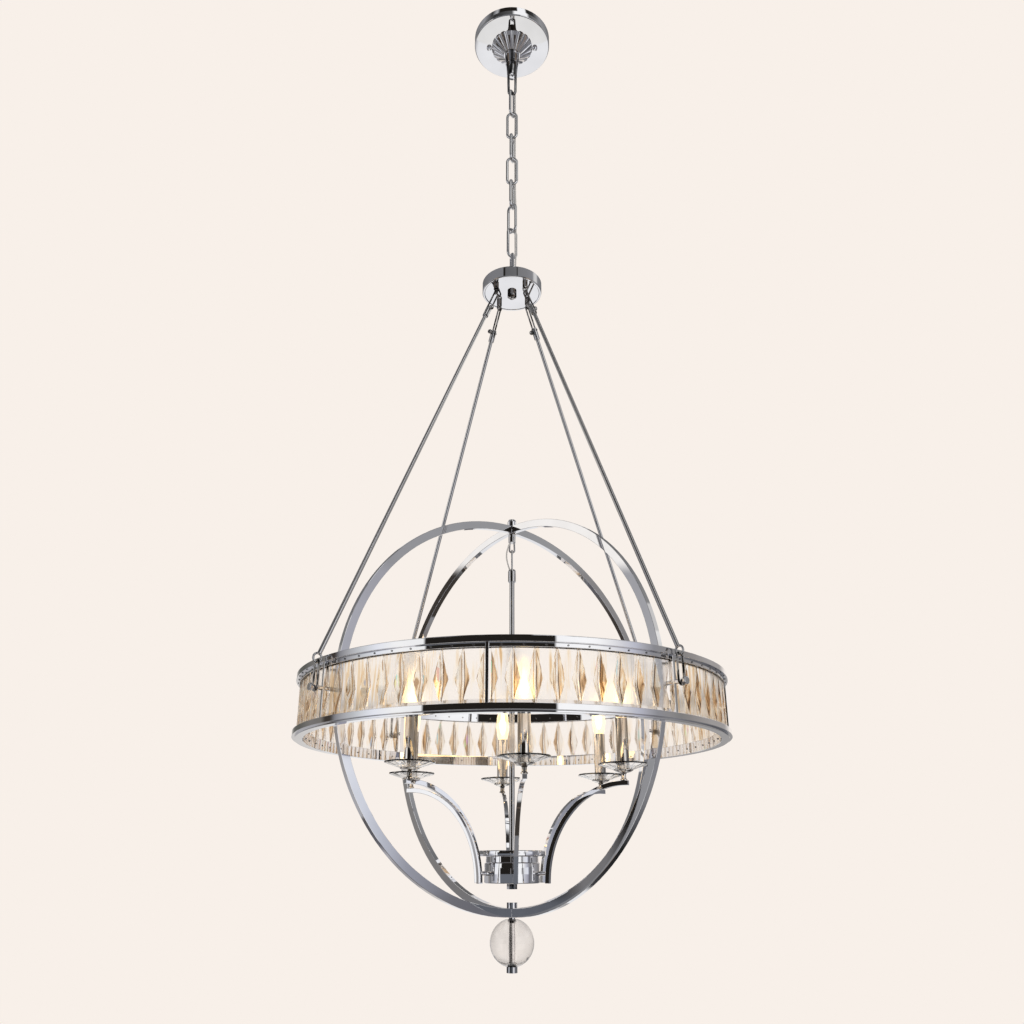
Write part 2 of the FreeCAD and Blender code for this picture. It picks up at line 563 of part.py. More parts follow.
notch_low = [Part.makeBox(lap, lap, lap_height + 5, V(-lap / 2, -lap / 2, pole_under - 5)),
             Part.makeBox(lap, lap, lap_height + 5, V(-lap / 2, -lap / 2, orb_bottom - 5))]
save(out_to(hoop.cut(notch_low[0]).cut(notch_low[1]).cut(bore), ROD_AZIMUTH), "hoop_front_left")
save(out_to(hoop.cut(notch_high[0]).cut(notch_high[1]).cut(bore), ROD_AZIMUTH + 90), "hoop_front_right")

# Cap nut on the top pole, and below it the coupling with its loop and threaded end
cap_bore = HOOP_BORE_RADIUS + BORE_GAP
cap_depth = POLE_NUT_HEIGHT * 0.6
cap = turned([(cap_bore, pole_top), (POLE_NUT_RADIUS, pole_top), (POLE_NUT_RADIUS, pole_top + cap_depth),
              (POLE_NUT_RADIUS * 0.75, pole_top + POLE_NUT_HEIGHT * 0.9), (0, pole_top + POLE_NUT_HEIGHT),
              (0, pole_top + cap_depth), (cap_bore, pole_top + cap_depth)])
save(cap, "pole_cap_nut")
coupling_top = pole_under - SEAT_GAP
coupling_low = coupling_top - COUPLING_HEIGHT
coupling = turned([(0, coupling_low), (COUPLING_RADIUS, coupling_low), (COUPLING_RADIUS, coupling_top - 2.5),
                   (COUPLING_RADIUS * 0.8, coupling_top), (HOOP_BORE_RADIUS, coupling_top),
                   (HOOP_BORE_RADIUS, pole_top + cap_depth - 0.5), (0, pole_top + cap_depth - 0.5)])
loop_foot = (STEM_LOOP_WIDTH - STEM_LOOP_WIRE) / 2
upper_loop = wire_bail(-UPPER_LOOP_DROP - 1, loop_foot - 0.4, loop_foot, STEM_LOOP_WIRE, coupling_low + 1)
save(coupling.fuse(upper_loop), "upper_coupling")

# Stem: a coupling whose loop hangs in the fixed one, tube, spool hub and nut
swing_z = coupling_low - UPPER_LOOP_DROP + STEM_LOOP_WIRE / 2
lower_loop_top = swing_z + STEM_LOOP_WIRE + LINK_GAP + STEM_LOOP_WIRE / 2
stem_coupling_top = lower_loop_top - LOWER_LOOP_RISE
lower_loop = wire_bail(LOWER_LOOP_RISE + 1, loop_foot - 0.4, loop_foot, STEM_LOOP_WIRE,
                       stem_coupling_top - 1)
lower_loop.rotate(V(0, 0, 0), V(0, 0, 1), 90)
stem_top = stem_coupling_top - STEM_COUPLING_HEIGHT
stem_coupling = turned([(0, stem_top), (STEM_COUPLING_RADIUS, stem_top),
                        (STEM_COUPLING_RADIUS, stem_coupling_top - 3),
                        (STEM_COUPLING_RADIUS * 0.85, stem_coupling_top), (0, stem_coupling_top)])
save(stem_coupling.fuse(lower_loop), "stem_coupling")
spool_bottom = orb_floor + FINIAL_NUT_HEIGHT + ORB_FLOOR_GAP + SPOOL_NUT_HEIGHT
spool_top = spool_bottom + SPOOL_HEIGHT
stem_bottom = spool_bottom - SPOOL_NUT_HEIGHT * 0.8
stem = Part.makeCylinder(STEM_RADIUS, stem_top - stem_bottom, V(0, 0, stem_bottom))
stem = stem.cut(Part.makeCylinder(STEM_RADIUS - STEM_WALL, stem_top - stem_bottom, V(0, 0, stem_bottom)))
save(stem, "stem_tube")
hub_bore = STEM_RADIUS + BORE_GAP
flange_low = spool_top - SPOOL_FLANGE_HEIGHT
neck_low = flange_low - SPOOL_NECK_HEIGHT
spool = turned([(hub_bore, spool_top), (SPOOL_FLANGE_RADIUS - 1, spool_top), (SPOOL_FLANGE_RADIUS, spool_top - 1),
                (SPOOL_FLANGE_RADIUS, flange_low + 1), (SPOOL_FLANGE_RADIUS - 1, flange_low),
                (SPOOL_NECK_RADIUS, flange_low), (SPOOL_NECK_RADIUS, neck_low),
                (SPOOL_RADIUS - 1, neck_low), (SPOOL_RADIUS, neck_low - 1),
                (SPOOL_RADIUS, spool_bottom + 1), (SPOOL_RADIUS - 1, spool_bottom), (hub_bore, spool_bottom)])
save(spool, "light_hub")
spool_nut = hexagon(SPOOL_NUT_RADIUS, SPOOL_NUT_HEIGHT, spool_bottom - SPOOL_NUT_HEIGHT)
spool_nut = spool_nut.cut(Part.makeCylinder(hub_bore, SPOOL_NUT_HEIGHT * 0.85,
                                            V(0, 0, spool_bottom - SPOOL_NUT_HEIGHT * 0.82)))
save(spool_nut, "light_hub_nut")

# Arms: square bars in a quarter oval from the hub out to the candle
arm_foot_z = spool_bottom
arm_axis_z = arm_foot_z
arm_width = ARM_REACH - ARM_FOOT_RADIUS


def quarter_oval(half_width, half_height):
    """The rising outer-to-top quarter of an oval centred below the candle."""
    if half_width >= half_height:
        oval = Part.Ellipse(V(0, 0, 0), half_width, half_height)
        arc = oval.toShape(math.pi / 2, math.pi)
    else:
        oval = Part.Ellipse(V(0, half_height, 0), V(-half_width, 0, 0), V(0, 0, 0))
        arc = oval.toShape(0, math.pi / 2)
    arc.rotate(V(0, 0, 0), V(1, 0, 0), 90)
    arc.translate(V(ARM_REACH, 0, arm_axis_z))
    return arc


half_bar = ARM_BAR / 2
high_curve = quarter_oval(arm_width + half_bar, ARM_RISE + half_bar)
low_curve = quarter_oval(arm_width - half_bar, ARM_RISE - half_bar)
tip_x = ARM_REACH + ARM_TIP
tip_high, tip_low = arm_axis_z + ARM_RISE + half_bar, arm_axis_z + ARM_RISE - half_bar
edges = [high_curve, low_curve,
         Part.makeLine(V(ARM_FOOT_RADIUS - half_bar, 0, arm_axis_z), V(ARM_FOOT_RADIUS + half_bar, 0, arm_axis_z)),
         Part.makeLine(V(ARM_REACH, 0, tip_high), V(tip_x, 0, tip_high)),
         Part.makeLine(V(tip_x, 0, tip_high), V(tip_x, 0, tip_low)),
         Part.makeLine(V(tip_x, 0, tip_low), V(ARM_REACH, 0, tip_low))]
arm = Part.Face(Part.Wire(Part.__sortEdges__(edges))).extrude(V(0, ARM_BAR, 0))
arm.translate(V(0, -half_bar, 0))
arm_azimuths = [FIRST_ARM_AZIMUTH + 360 / ARMS * n for n in range(ARMS)]
for number, azimuth in enumerate(arm_azimuths):
    save(out_to(arm, azimuth), "arm_" + str(number + 1))
screw_z = arm_foot_z + ARM_SCREW_RISE
inner_width = arm_width + half_bar
screw_end = ARM_REACH - inner_width * math.sqrt(1 - ((ARM_SCREW_RISE + ARM_SCREW_RADIUS)
                                                     / (ARM_RISE + half_bar)) ** 2)
arm_screw = rod(V(SPOOL_RADIUS, 0, screw_z), V(screw_end - 1.2, 0, screw_z), ARM_SCREW_RADIUS)
save([out_to(arm_screw, a) for a in arm_azimuths], "arm_screws")

# Candle lights, made on the axis and carried out to the arms
arm_top = tip_high
neck_top = arm_top + NECK_HEIGHT
cup = turned([(0, arm_top), (NECK_RADIUS, arm_top), (NECK_RADIUS, arm_top + 2),
              (NECK_RADIUS * 0.7, arm_top + 3.5), (NECK_RADIUS * 0.7, neck_top - 2),
              (NECK_RADIUS, neck_top), (CUP_RADIUS * 0.7, neck_top + 1.2), (CUP_RADIUS, neck_top + 3.4),
              (CUP_RADIUS, neck_top + 4.2), (CUP_RADIUS * 0.8, neck_top + 3.4), (0, neck_top + 3.4)])
dish_floor = neck_top + 3.4 + SEAT_GAP
dish_inner = SLEEVE_RADIUS + 2.2


def faceted_dish():
    """A shallow polygonal dish with a flared rim, lofted and hollowed."""
    def ring(radius, z):
        pts = [V(radius * math.cos(2 * math.pi * k / DISH_FACETS),
                 radius * math.sin(2 * math.pi * k / DISH_FACETS), z) for k in range(DISH_FACETS)]
        return Part.makePolygon(pts + [pts[0]])
    lift = DISH_DEPTH - DISH_WALL
    outside = [ring(dish_inner, dish_floor), ring(dish_inner * 1.9, dish_floor + lift * 0.42),
               ring(DISH_RADIUS, dish_floor + lift)]
    inside = [ring(dish_inner - 0.6, dish_floor + DISH_WALL),
              ring(dish_inner * 1.9 - 1.0, dish_floor + lift * 0.42 + DISH_WALL),
              ring(DISH_RADIUS - 0.2, dish_floor + lift + DISH_WALL)]
    body = Part.makeLoft(outside, True, True)
    rim = Part.makeLoft([ring(DISH_RADIUS, dish_floor + lift), ring(DISH_RADIUS, dish_floor + lift + DISH_WALL)],
                        True, True)
    hollow = Part.makeLoft(inside, True, True)
    return body.fuse(rim).cut(hollow)


dish = faceted_dish()
sleeve_floor = dish_floor + DISH_WALL + SEAT_GAP
sleeve_top = sleeve_floor + SLEEVE_HEIGHT
sleeve = Part.makeCylinder(SLEEVE_RADIUS, SLEEVE_HEIGHT, V(0, 0, sleeve_floor))
sleeve = sleeve.cut(Part.makeCylinder(SLEEVE_RADIUS - SLEEVE_WALL, SLEEVE_HEIGHT, V(0, 0, sleeve_floor)))
socket_floor = sleeve_floor + 0.2
socket = Part.makeCylinder(SOCKET_BODY_RADIUS, SLEEVE_HEIGHT - 1.5, V(0, 0, socket_floor))
socket = socket.cut(Part.makeCylinder(BULB_BASE_RADIUS + BORE_GAP, SOCKET_DEPTH,
                                      V(0, 0, socket_floor + SLEEVE_HEIGHT - 1.5 - BULB_BASE_LENGTH - 1)))
bulb_foot = sleeve_top + 0.3
bulb = turned([(0, bulb_foot - BULB_BASE_LENGTH), (BULB_BASE_RADIUS, bulb_foot - BULB_BASE_LENGTH),
               (BULB_BASE_RADIUS, bulb_foot), (BULB_RADIUS * 0.62, bulb_foot),
               (BULB_RADIUS * 0.86, bulb_foot + BULB_LENGTH * 0.12),
               (BULB_RADIUS, bulb_foot + BULB_LENGTH * 0.3),
               (BULB_RADIUS * 0.9, bulb_foot + BULB_LENGTH * 0.52),
               (BULB_RADIUS * 0.55, bulb_foot + BULB_LENGTH * 0.76),
               (BULB_RADIUS * 0.16, bulb_foot + BULB_LENGTH * 0.95), (0, bulb_foot + BULB_LENGTH)])


def on_arms(shape):
    return [out_to(moved(shape, ARM_REACH, 0, 0), a) for a in arm_azimuths]


save(on_arms(cup), "candle_cups")
save(on_arms(dish), "candle_dishes")
save(on_arms(sleeve), "candle_sleeves")
save(on_arms(socket), "candle_sockets")
save(on_arms(bulb), "bulbs")

# Bottom finial: nut inside the orb, rod through the pole, crystal ball, end nut
ball_centre = orb_bottom - BALL_DROP - BALL_FLAT
end_nut_top = ball_centre - BALL_FLAT - SEAT_GAP
rod_top = orb_floor + FINIAL_NUT_HEIGHT
finial_rod = Part.makeCylinder(FINIAL_ROD_RADIUS - BORE_GAP, rod_top - end_nut_top + END_NUT_HEIGHT * 0.8,
                               V(0, 0, end_nut_top - END_NUT_HEIGHT * 0.8))
finial_nut = Part.makeCylinder(FINIAL_NUT_RADIUS, FINIAL_NUT_HEIGHT, V(0, 0, orb_floor + SEAT_GAP))
ball_tube = Part.makeCylinder(BALL_TUBE_RADIUS, orb_bottom - end_nut_top, V(0, 0, end_nut_top))
finial = finial_rod.fuse(finial_nut).fuse(ball_tube).removeSplitter()
save(finial, "finial_rod")
ball = Part.makeSphere(BALL_RADIUS, V(0, 0, ball_centre))
ball = ball.cut(Part.makeCylinder(BALL_TUBE_RADIUS + SEAT_GAP, BALL_RADIUS * 4,
                                  V(0, 0, ball_centre - BALL_RADIUS * 2)))
ball = ball.common(Part.makeCylinder(BALL_RADIUS + 1, BALL_FLAT * 2, V(0, 0, ball_centre - BALL_FLAT)))
save(ball, "crystal_ball")
end_nut = Part.makeCylinder(END_NUT_RADIUS, END_NUT_HEIGHT, V(0, 0, end_nut_top - END_NUT_HEIGHT))
end_nut = end_nut.cut(Part.makeCylinder(FINIAL_ROD_RADIUS, END_NUT_HEIGHT * 0.82,
                                        V(0, 0, end_nut_top - END_NUT_HEIGHT * 0.82)))
save(end_nut, "end_nut")


def smooth_tube(points, radius):
    """A tube along straight runs joined by tangent arcs as large as the runs allow."""
    edges, start = [], points[0]
    radii = []
    for before, corner, after in zip(points, points[1:], points[2:]):
        back, ahead = (before - corner), (after - corner)
        run = 0.45 * min(back.Length, ahead.Length)
        back.normalize()
        ahead.normalize()
        half = back.getAngle(ahead) / 2
        radii.append(run * math.tan(half))
        enter, leave = corner + back * run, corner + ahead * run
        middle = (back + ahead).normalize() * (radii[-1] / math.sin(half) - radii[-1])
        edges.append(Part.makeLine(start, enter))
        edges.append(Part.Arc(enter, corner + middle, leave).toShape())
        start = leave
    edges.append(Part.makeLine(start, points[-1]))
    path = Part.Wire(edges)
    first = (points[1] - points[0])
    section = Part.Wire(Part.makeCircle(radius, points[0], first))
    tube = path.makePipeShell([section], True, False)
    ratio = tube.Volume / (math.pi * radius ** 2 * path.Length)
    print("tube length", round(path.Length, 1), "least radius", round(min(radii), 1),
          "volume ratio", round(ratio, 3))
    return tube


# Lead: leaves the holder, runs down beside the links and into the hub collar
lead_points = [V(6.4, 4.2, holder_bottom - LEAD_END_GAP)]
for bearing, height in zip([30.5, 29.0, 33.5, 37.5, 36.0, 15.0, -3.0, -20.0], pivots):
    side = math.radians(bearing)
    lead_points.append(V(LEAD_OFFSET * math.cos(side), LEAD_OFFSET * math.sin(side), height))
lead_points.append(V(6.6, -3.4, hub_collar_top + LEAD_END_GAP))
save(smooth_tube(lead_points, LEAD_RADIUS), "lead_cord")

# Short free lead from the upper coupling to the stem coupling
free_lead = [V(-3.5, -3.2, coupling_low - LEAD_END_GAP), V(-7.2, -3.0, coupling_low - 9),
             V(-10.4, -2.4, coupling_low - 24), V(-7.5, -1.8, stem_coupling_top + 10),
             V(-4.1, -1.4, stem_coupling_top + LEAD_END_GAP)]
save(smooth_tube(free_lead, FREE_LEAD_RADIUS), "stem_lead")

print("pivots", [round(p, 2) for p in pivots])
print("hub", round(hub_top, 1), round(hub_bottom, 1), "ring", round(ring_top, 1), round(ring_bottom, 1),
      "pin", round(pin_z, 1), "poles", round(pole_top, 1), round(orb_bottom, 1))
print("swing", round(swing_z, 2), "spool", round(spool_top, 1), round(spool_bottom, 1),
      "arm top", round(arm_top, 1), "sleeve", round(sleeve_floor, 1), round(sleeve_top, 1),
      "ball", round(ball_centre, 1), "end", round(end_nut_top - END_NUT_HEIGHT, 1))
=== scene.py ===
import json
import math
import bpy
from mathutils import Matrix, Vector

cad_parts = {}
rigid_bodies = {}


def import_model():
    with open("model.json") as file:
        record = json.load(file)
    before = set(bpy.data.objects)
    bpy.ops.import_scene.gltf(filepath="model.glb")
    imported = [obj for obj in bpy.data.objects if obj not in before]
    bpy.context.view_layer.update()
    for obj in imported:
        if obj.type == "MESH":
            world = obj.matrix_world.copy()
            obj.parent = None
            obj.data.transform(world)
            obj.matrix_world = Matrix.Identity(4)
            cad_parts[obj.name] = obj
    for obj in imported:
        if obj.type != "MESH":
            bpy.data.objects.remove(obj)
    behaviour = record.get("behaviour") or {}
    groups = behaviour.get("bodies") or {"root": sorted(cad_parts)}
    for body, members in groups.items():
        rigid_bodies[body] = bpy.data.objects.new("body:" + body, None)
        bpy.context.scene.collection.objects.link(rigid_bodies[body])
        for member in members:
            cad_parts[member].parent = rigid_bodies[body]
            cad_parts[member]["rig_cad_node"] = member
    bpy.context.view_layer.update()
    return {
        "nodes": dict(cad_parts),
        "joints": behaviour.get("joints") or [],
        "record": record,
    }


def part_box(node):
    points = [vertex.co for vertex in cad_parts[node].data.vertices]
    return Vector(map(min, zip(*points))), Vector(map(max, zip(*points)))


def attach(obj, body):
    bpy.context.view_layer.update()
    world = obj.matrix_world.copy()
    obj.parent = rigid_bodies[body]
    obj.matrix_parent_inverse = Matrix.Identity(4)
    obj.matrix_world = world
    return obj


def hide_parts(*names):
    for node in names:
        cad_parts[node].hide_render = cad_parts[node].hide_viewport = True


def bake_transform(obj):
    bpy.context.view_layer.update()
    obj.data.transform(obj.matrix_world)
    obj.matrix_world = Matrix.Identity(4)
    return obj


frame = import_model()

from types import SimpleNamespace

import bmesh
import bpy
from mathutils import Vector


# Camera: below the chandelier and in front of it, tilted up as for the photograph,
# at the distance and with the lens that fit the ring, the hoops and the chain.
CAMERA_LENS = 31.08
CAMERA_PLACE = (0.0, -1.4764, -1.7374)
CAMERA_TILT = 21.55

camera_data = bpy.data.cameras.new("camera")
camera_data.sensor_width = 36.0
camera_data.lens = CAMERA_LENS
camera_data.clip_end = 50.0
camera = bpy.data.objects.new("camera", camera_data)
bpy.context.collection.objects.link(camera)
camera.location = CAMERA_PLACE
camera.rotation_euler = (math.radians(90.0 + CAMERA_TILT), 0.0, 0.0)
bpy.context.scene.camera = camera
bpy.context.scene.view_settings.view_transform = "Standard"


# Studio: what the chrome shows, a dark doorway in front, white screens beside it,
# lavender grey walls and a brown floor at the sides. Each band starts at an elevation
# and lists colours by bearing, in degrees from the front towards the right.
CREAM = (0.939, 0.871, 0.815)
DOORWAY = (0.016, 0.014, 0.012)
SCREEN = (1.0, 1.0, 1.0)
WARM_SCREEN = (1.0, 0.97, 0.93)
PALE = (0.86, 0.86, 0.87)
SLATE = (0.14, 0.15, 0.17)
BROWN = (0.05, 0.042, 0.036)
PIT_BAND = [(-180, (0.84, 0.83, 0.81)), (-162, (0.80, 0.79, 0.77)), (-150, (0.12, 0.12, 0.12)),
            (-80, BROWN), (70, BROWN), (80, (0.14, 0.10, 0.08)), (96, BROWN), (142, BROWN),
            (150, (0.12, 0.12, 0.12)), (162, (0.80, 0.79, 0.77)), (180, (0.84, 0.83, 0.81))]
FLOOR_BAND = [(-180, PALE), (-165, PALE), (-160, (0.38, 0.37, 0.38)), (-149, (0.34, 0.33, 0.34)),
              (-143, (0.44, 0.43, 0.46)), (-138, (0.13, 0.13, 0.15)), (-122, (0.10, 0.09, 0.085)),
              (-112, BROWN), (-80, BROWN), (-64, (0.34, 0.27, 0.21)),
              (-52, (0.05, 0.045, 0.04)), (-34, (0.20, 0.20, 0.21)), (30, (0.20, 0.20, 0.21)),
              (52, (0.05, 0.045, 0.04)), (64, (0.34, 0.27, 0.21)), (80, (0.22, 0.18, 0.16)),
              (98, (0.26, 0.26, 0.27)), (103, (0.22, 0.22, 0.23)), (112, (0.11, 0.11, 0.12)),
              (121, (0.055, 0.055, 0.058)), (130, (0.014, 0.015, 0.014)), (143, (0.02, 0.02, 0.022)),
              (157, (0.05, 0.05, 0.055)), (161, PALE), (180, PALE)]
LOW_BAND = [(-180, PALE), (-170, PALE), (-167, (0.62, 0.60, 0.58)), (-156, (0.42, 0.41, 0.42)),
            (-120, (0.42, 0.42, 0.44)), (-110, (0.28, 0.26, 0.245)), (-100, (0.16, 0.165, 0.18)),
            (-91, (0.34, 0.34, 0.35)), (-80, (0.36, 0.37, 0.41)), (-66, (0.60, 0.61, 0.66)),
            (-58, SCREEN), (-50.5, (0.80, 0.81, 0.84)), (-50, SLATE),
            (21.6, SLATE), (22, SCREEN), (40, SCREEN), (50, (0.60, 0.61, 0.66)), (66, (0.42, 0.42, 0.48)),
            (72, (0.29, 0.29, 0.34)), (75, (0.19, 0.19, 0.21)), (78, (0.15, 0.15, 0.17)),
            (84, (0.22, 0.22, 0.23)), (93, (0.26, 0.26, 0.28)), (102, (0.22, 0.22, 0.23)),
            (124, (0.11, 0.11, 0.12)), (140, (0.12, 0.12, 0.13)), (152, SLATE),
            (160, (0.34, 0.33, 0.32)), (171, (0.36, 0.35, 0.35)), (174, PALE), (180, PALE)]
KNEE_BAND = [(-180, CREAM), (-158, CREAM), (-148, (0.20, 0.19, 0.19)), (-116, (0.13, 0.13, 0.13)),
             (-109, (0.27, 0.255, 0.24)), (-100, (0.15, 0.15, 0.16)), (-91, (0.34, 0.34, 0.35)),
             (-82, (0.42, 0.42, 0.44)), (-75, (0.88, 0.89, 0.92)), (-50.5, SCREEN), (-50, DOORWAY),
             (-6.3, DOORWAY), (-6.0, (0.22, 0.215, 0.215)), (-4.0, (0.22, 0.215, 0.215)), (-3.7, DOORWAY),
             (6, DOORWAY), (22, (0.32, 0.32, 0.33)), (29, SCREEN), (37, SCREEN), (42, (0.45, 0.45, 0.46)),
             (46, (0.42, 0.42, 0.43)), (52, (0.76, 0.77, 0.80)), (66, (0.80, 0.82, 0.88)),
             (69.5, (0.80, 0.82, 0.88)), (70.8, (0.62, 0.65, 0.73)), (72.8, (0.36, 0.37, 0.43)),
             (76, (0.18, 0.18, 0.20)), (90, (0.18, 0.18, 0.19)), (99, (0.34, 0.34, 0.36)),
             (148, (0.20, 0.19, 0.19)), (158, CREAM), (180, CREAM)]
LEVEL_BAND = [(-180, CREAM), (-163, CREAM), (-156, (0.35, 0.34, 0.32)), (-149, (0.13, 0.13, 0.12)),
              (-138, (0.11, 0.11, 0.10)), (-122, (0.20, 0.19, 0.18)), (-111, (0.18, 0.17, 0.155)),
              (-107, BROWN), (-102, BROWN), (-98, (0.25, 0.25, 0.27)), (-92, (0.40, 0.40, 0.42)),
              (-82, (0.60, 0.62, 0.64)), (-72, (0.82, 0.84, 0.90)), (-60, (0.95, 0.95, 0.94)),
              (-44.2, (0.95, 0.95, 0.94)), (-43.8, DOORWAY), (21.6, DOORWAY), (22, SCREEN), (43, SCREEN),
              (50, (0.86, 0.86, 0.87)), (57, (0.68, 0.68, 0.72)), (64, (0.53, 0.54, 0.62)),
              (70, (0.40, 0.40, 0.44)), (76, (0.28, 0.28, 0.30)), (84, (0.28, 0.27, 0.27)),
              (92, (0.23, 0.225, 0.22)), (105, (0.31, 0.29, 0.28)), (120, (0.37, 0.35, 0.34)),
              (138, (0.37, 0.35, 0.34)), (150, CREAM), (180, CREAM)]
HIGH_BAND = [(-180, (0.62, 0.61, 0.62)), (-162, (0.62, 0.61, 0.62)), (-148, (0.18, 0.18, 0.18)),
             (-118, (0.20, 0.20, 0.20)), (-112, WARM_SCREEN), (-92, WARM_SCREEN), (-88, (0.42, 0.42, 0.44)),
             (-66, (0.34, 0.34, 0.37)), (-50, (0.12, 0.12, 0.13)), (-44, DOORWAY), (21, DOORWAY),
             (22, SCREEN), (43, SCREEN), (54, (0.60, 0.61, 0.66)), (68, (0.33, 0.33, 0.35)),
             (86, (0.33, 0.33, 0.33)), (96, (0.88, 0.87, 0.85)), (146, (0.86, 0.85, 0.83)),
             (180, (0.62, 0.61, 0.62))]
HUB_BAND = [(-180, (0.12, 0.12, 0.12)), (-100, (0.20, 0.20, 0.21)), (-35, (0.21, 0.21, 0.22)),
            (-33, DOORWAY), (-27, DOORWAY), (-25, (0.13, 0.13, 0.135)), (18, (0.15, 0.15, 0.155)),
            (19, DOORWAY), (21.5, DOORWAY), (23, (0.20, 0.20, 0.205)), (60, (0.22, 0.22, 0.23)),
            (88, (0.26, 0.26, 0.27)), (96, (0.62, 0.61, 0.60)), (110, (0.66, 0.65, 0.64)),
            (120, (0.24, 0.24, 0.25)), (180, (0.12, 0.12, 0.12))]
CHAIN_BAND = [(-180, (0.12, 0.12, 0.12)), (-90, (0.20, 0.20, 0.20)), (-50, (0.03, 0.03, 0.03)),
              (-30, (0.05, 0.05, 0.05)), (0, (0.10, 0.10, 0.10)), (8, SCREEN), (42, SCREEN),
              (50, (0.10, 0.10, 0.10)), (90, (0.30, 0.30, 0.30)), (180, (0.12, 0.12, 0.12))]
CEILING_BAND = [(-180, (0.09, 0.09, 0.09)), (-90, (0.30, 0.30, 0.31)), (-60, (0.03, 0.03, 0.03)),
                (-44, (0.45, 0.45, 0.46)), (-36, DOORWAY), (14, DOORWAY), (17, SCREEN), (38, SCREEN),
                (43, DOORWAY), (64, (0.04, 0.04, 0.04)), (90, (0.30, 0.30, 0.31)), (180, (0.09, 0.09, 0.09))]
STUDIO_BANDS = [(-50.5, FLOOR_BAND), (-28, LOW_BAND), (-2.0, KNEE_BAND), (6.2, LEVEL_BAND),
                (17.8, HIGH_BAND), (29, HUB_BAND), (38.6, CHAIN_BAND), (44.6, CEILING_BAND)]
BAND_EDGE = 0.5
SOFT_LIGHT = (0.95, 0.94, 0.93)
SEEN_THROUGH_GLASS = 0.10

studio = bpy.data.worlds.new("studio")
bpy.context.scene.world = studio
studio.use_nodes = True
studio_tree = studio.node_tree
studio_tree.nodes.clear()


def sum_of(tree, operation, first, second=0.0):
    """One sum in a node tree, on plain numbers or on what other nodes give."""
    step = tree.nodes.new("ShaderNodeMath")
    step.operation = operation
    for socket, value in zip(step.inputs, (first, second)):
        if isinstance(value, float):
            socket.default_value = value
        else:
            tree.links.new(value, socket)
    return step.outputs["Value"]


def ramp(tree, factor, stops):
    """The colours of a list of stops, looked up by factor."""
    colours = tree.nodes.new("ShaderNodeValToRGB")
    elements = colours.color_ramp.elements
    while len(elements) < len(stops):
        elements.new(0.5)
    for element, (position, colour) in zip(elements, stops):
        element.position = position
        element.color = (*colour, 1.0)
    tree.links.new(factor, colours.inputs["Fac"])
    return colours.outputs["Color"]


def mixed(tree, amount, first, second, blend="MIX"):
    """The first colour where amount is 0 and the second where it is 1."""
    mix = tree.nodes.new("ShaderNodeMix")
    mix.data_type = "RGBA"
    mix.blend_type = blend
    sockets = (mix.inputs["Factor"], mix.inputs[6], mix.inputs[7])
    for socket, value in zip(sockets, (amount, first, second)):
        if isinstance(value, tuple):
            socket.default_value = (*value, 1.0)
        elif isinstance(value, float):
            socket.default_value = value
        else:
            tree.links.new(value, socket)
    return mix.outputs[2]


def studio_band(band, position):
    """The colours round one band of the studio."""
    stops = [((bearing + 180.0) / 360.0, colour) for bearing, colour in band]
    return ramp(studio_tree, position, stops)


look = studio_tree.nodes.new("ShaderNodeTexCoord")
axes = studio_tree.nodes.new("ShaderNodeSeparateXYZ")
studio_tree.links.new(look.outputs["Generated"], axes.inputs["Vector"])
forward = sum_of(studio_tree, "MULTIPLY", axes.outputs["Y"], -1.0)
turn = sum_of(studio_tree, "ARCTAN2", axes.outputs["X"], forward)
round_studio = sum_of(studio_tree, "ADD", sum_of(studio_tree, "DIVIDE", turn, 2.0 * math.pi), 0.5)
elevation = sum_of(studio_tree, "ARCSINE", axes.outputs["Z"])
walls = studio_band(PIT_BAND, round_studio)
for start, band in STUDIO_BANDS:
    edge = studio_tree.nodes.new("ShaderNodeMapRange")
    edge.interpolation_type = "SMOOTHSTEP"
    edge.inputs["From Min"].default_value = math.radians(start - BAND_EDGE)
    edge.inputs["From Max"].default_value = math.radians(start + BAND_EDGE)
    studio_tree.links.new(elevation, edge.inputs["Value"])
    walls = mixed(studio_tree, edge.outputs["Result"], walls, studio_band(band, round_studio))

rays = studio_tree.nodes.new("ShaderNodeLightPath")
through = mixed(studio_tree, SEEN_THROUGH_GLASS, CREAM, walls)
light = mixed(studio_tree, rays.outputs["Is Glossy Ray"], SOFT_LIGHT, walls)
light = mixed(studio_tree, rays.outputs["Is Transmission Ray"], light, through)
light = mixed(studio_tree, rays.outputs["Is Camera Ray"], light, CREAM)
sky = studio_tree.nodes.new("ShaderNodeBackground")
studio_tree.links.new(light, sky.inputs["Color"])
sky_output = studio_tree.nodes.new("ShaderNodeOutputWorld")
studio_tree.links.new(sky.outputs["Background"], sky_output.inputs["Surface"])


# Floor: plain pale paint, far below the chandelier and out of the camera's view.
# It is the studio's and no part of the object.
FLOOR_RADIUS = 8.0
FLOOR_LEVEL = -3.2
FLOOR_COLOUR = (0.988, 0.927, 0.876, 1.0)


def new_finish(name):
    """An empty finish, with its node tree and its shader."""
    finish = bpy.data.materials.new(name)
    finish.use_nodes = True
    return finish, finish.node_tree, finish.node_tree.nodes["Principled BSDF"]


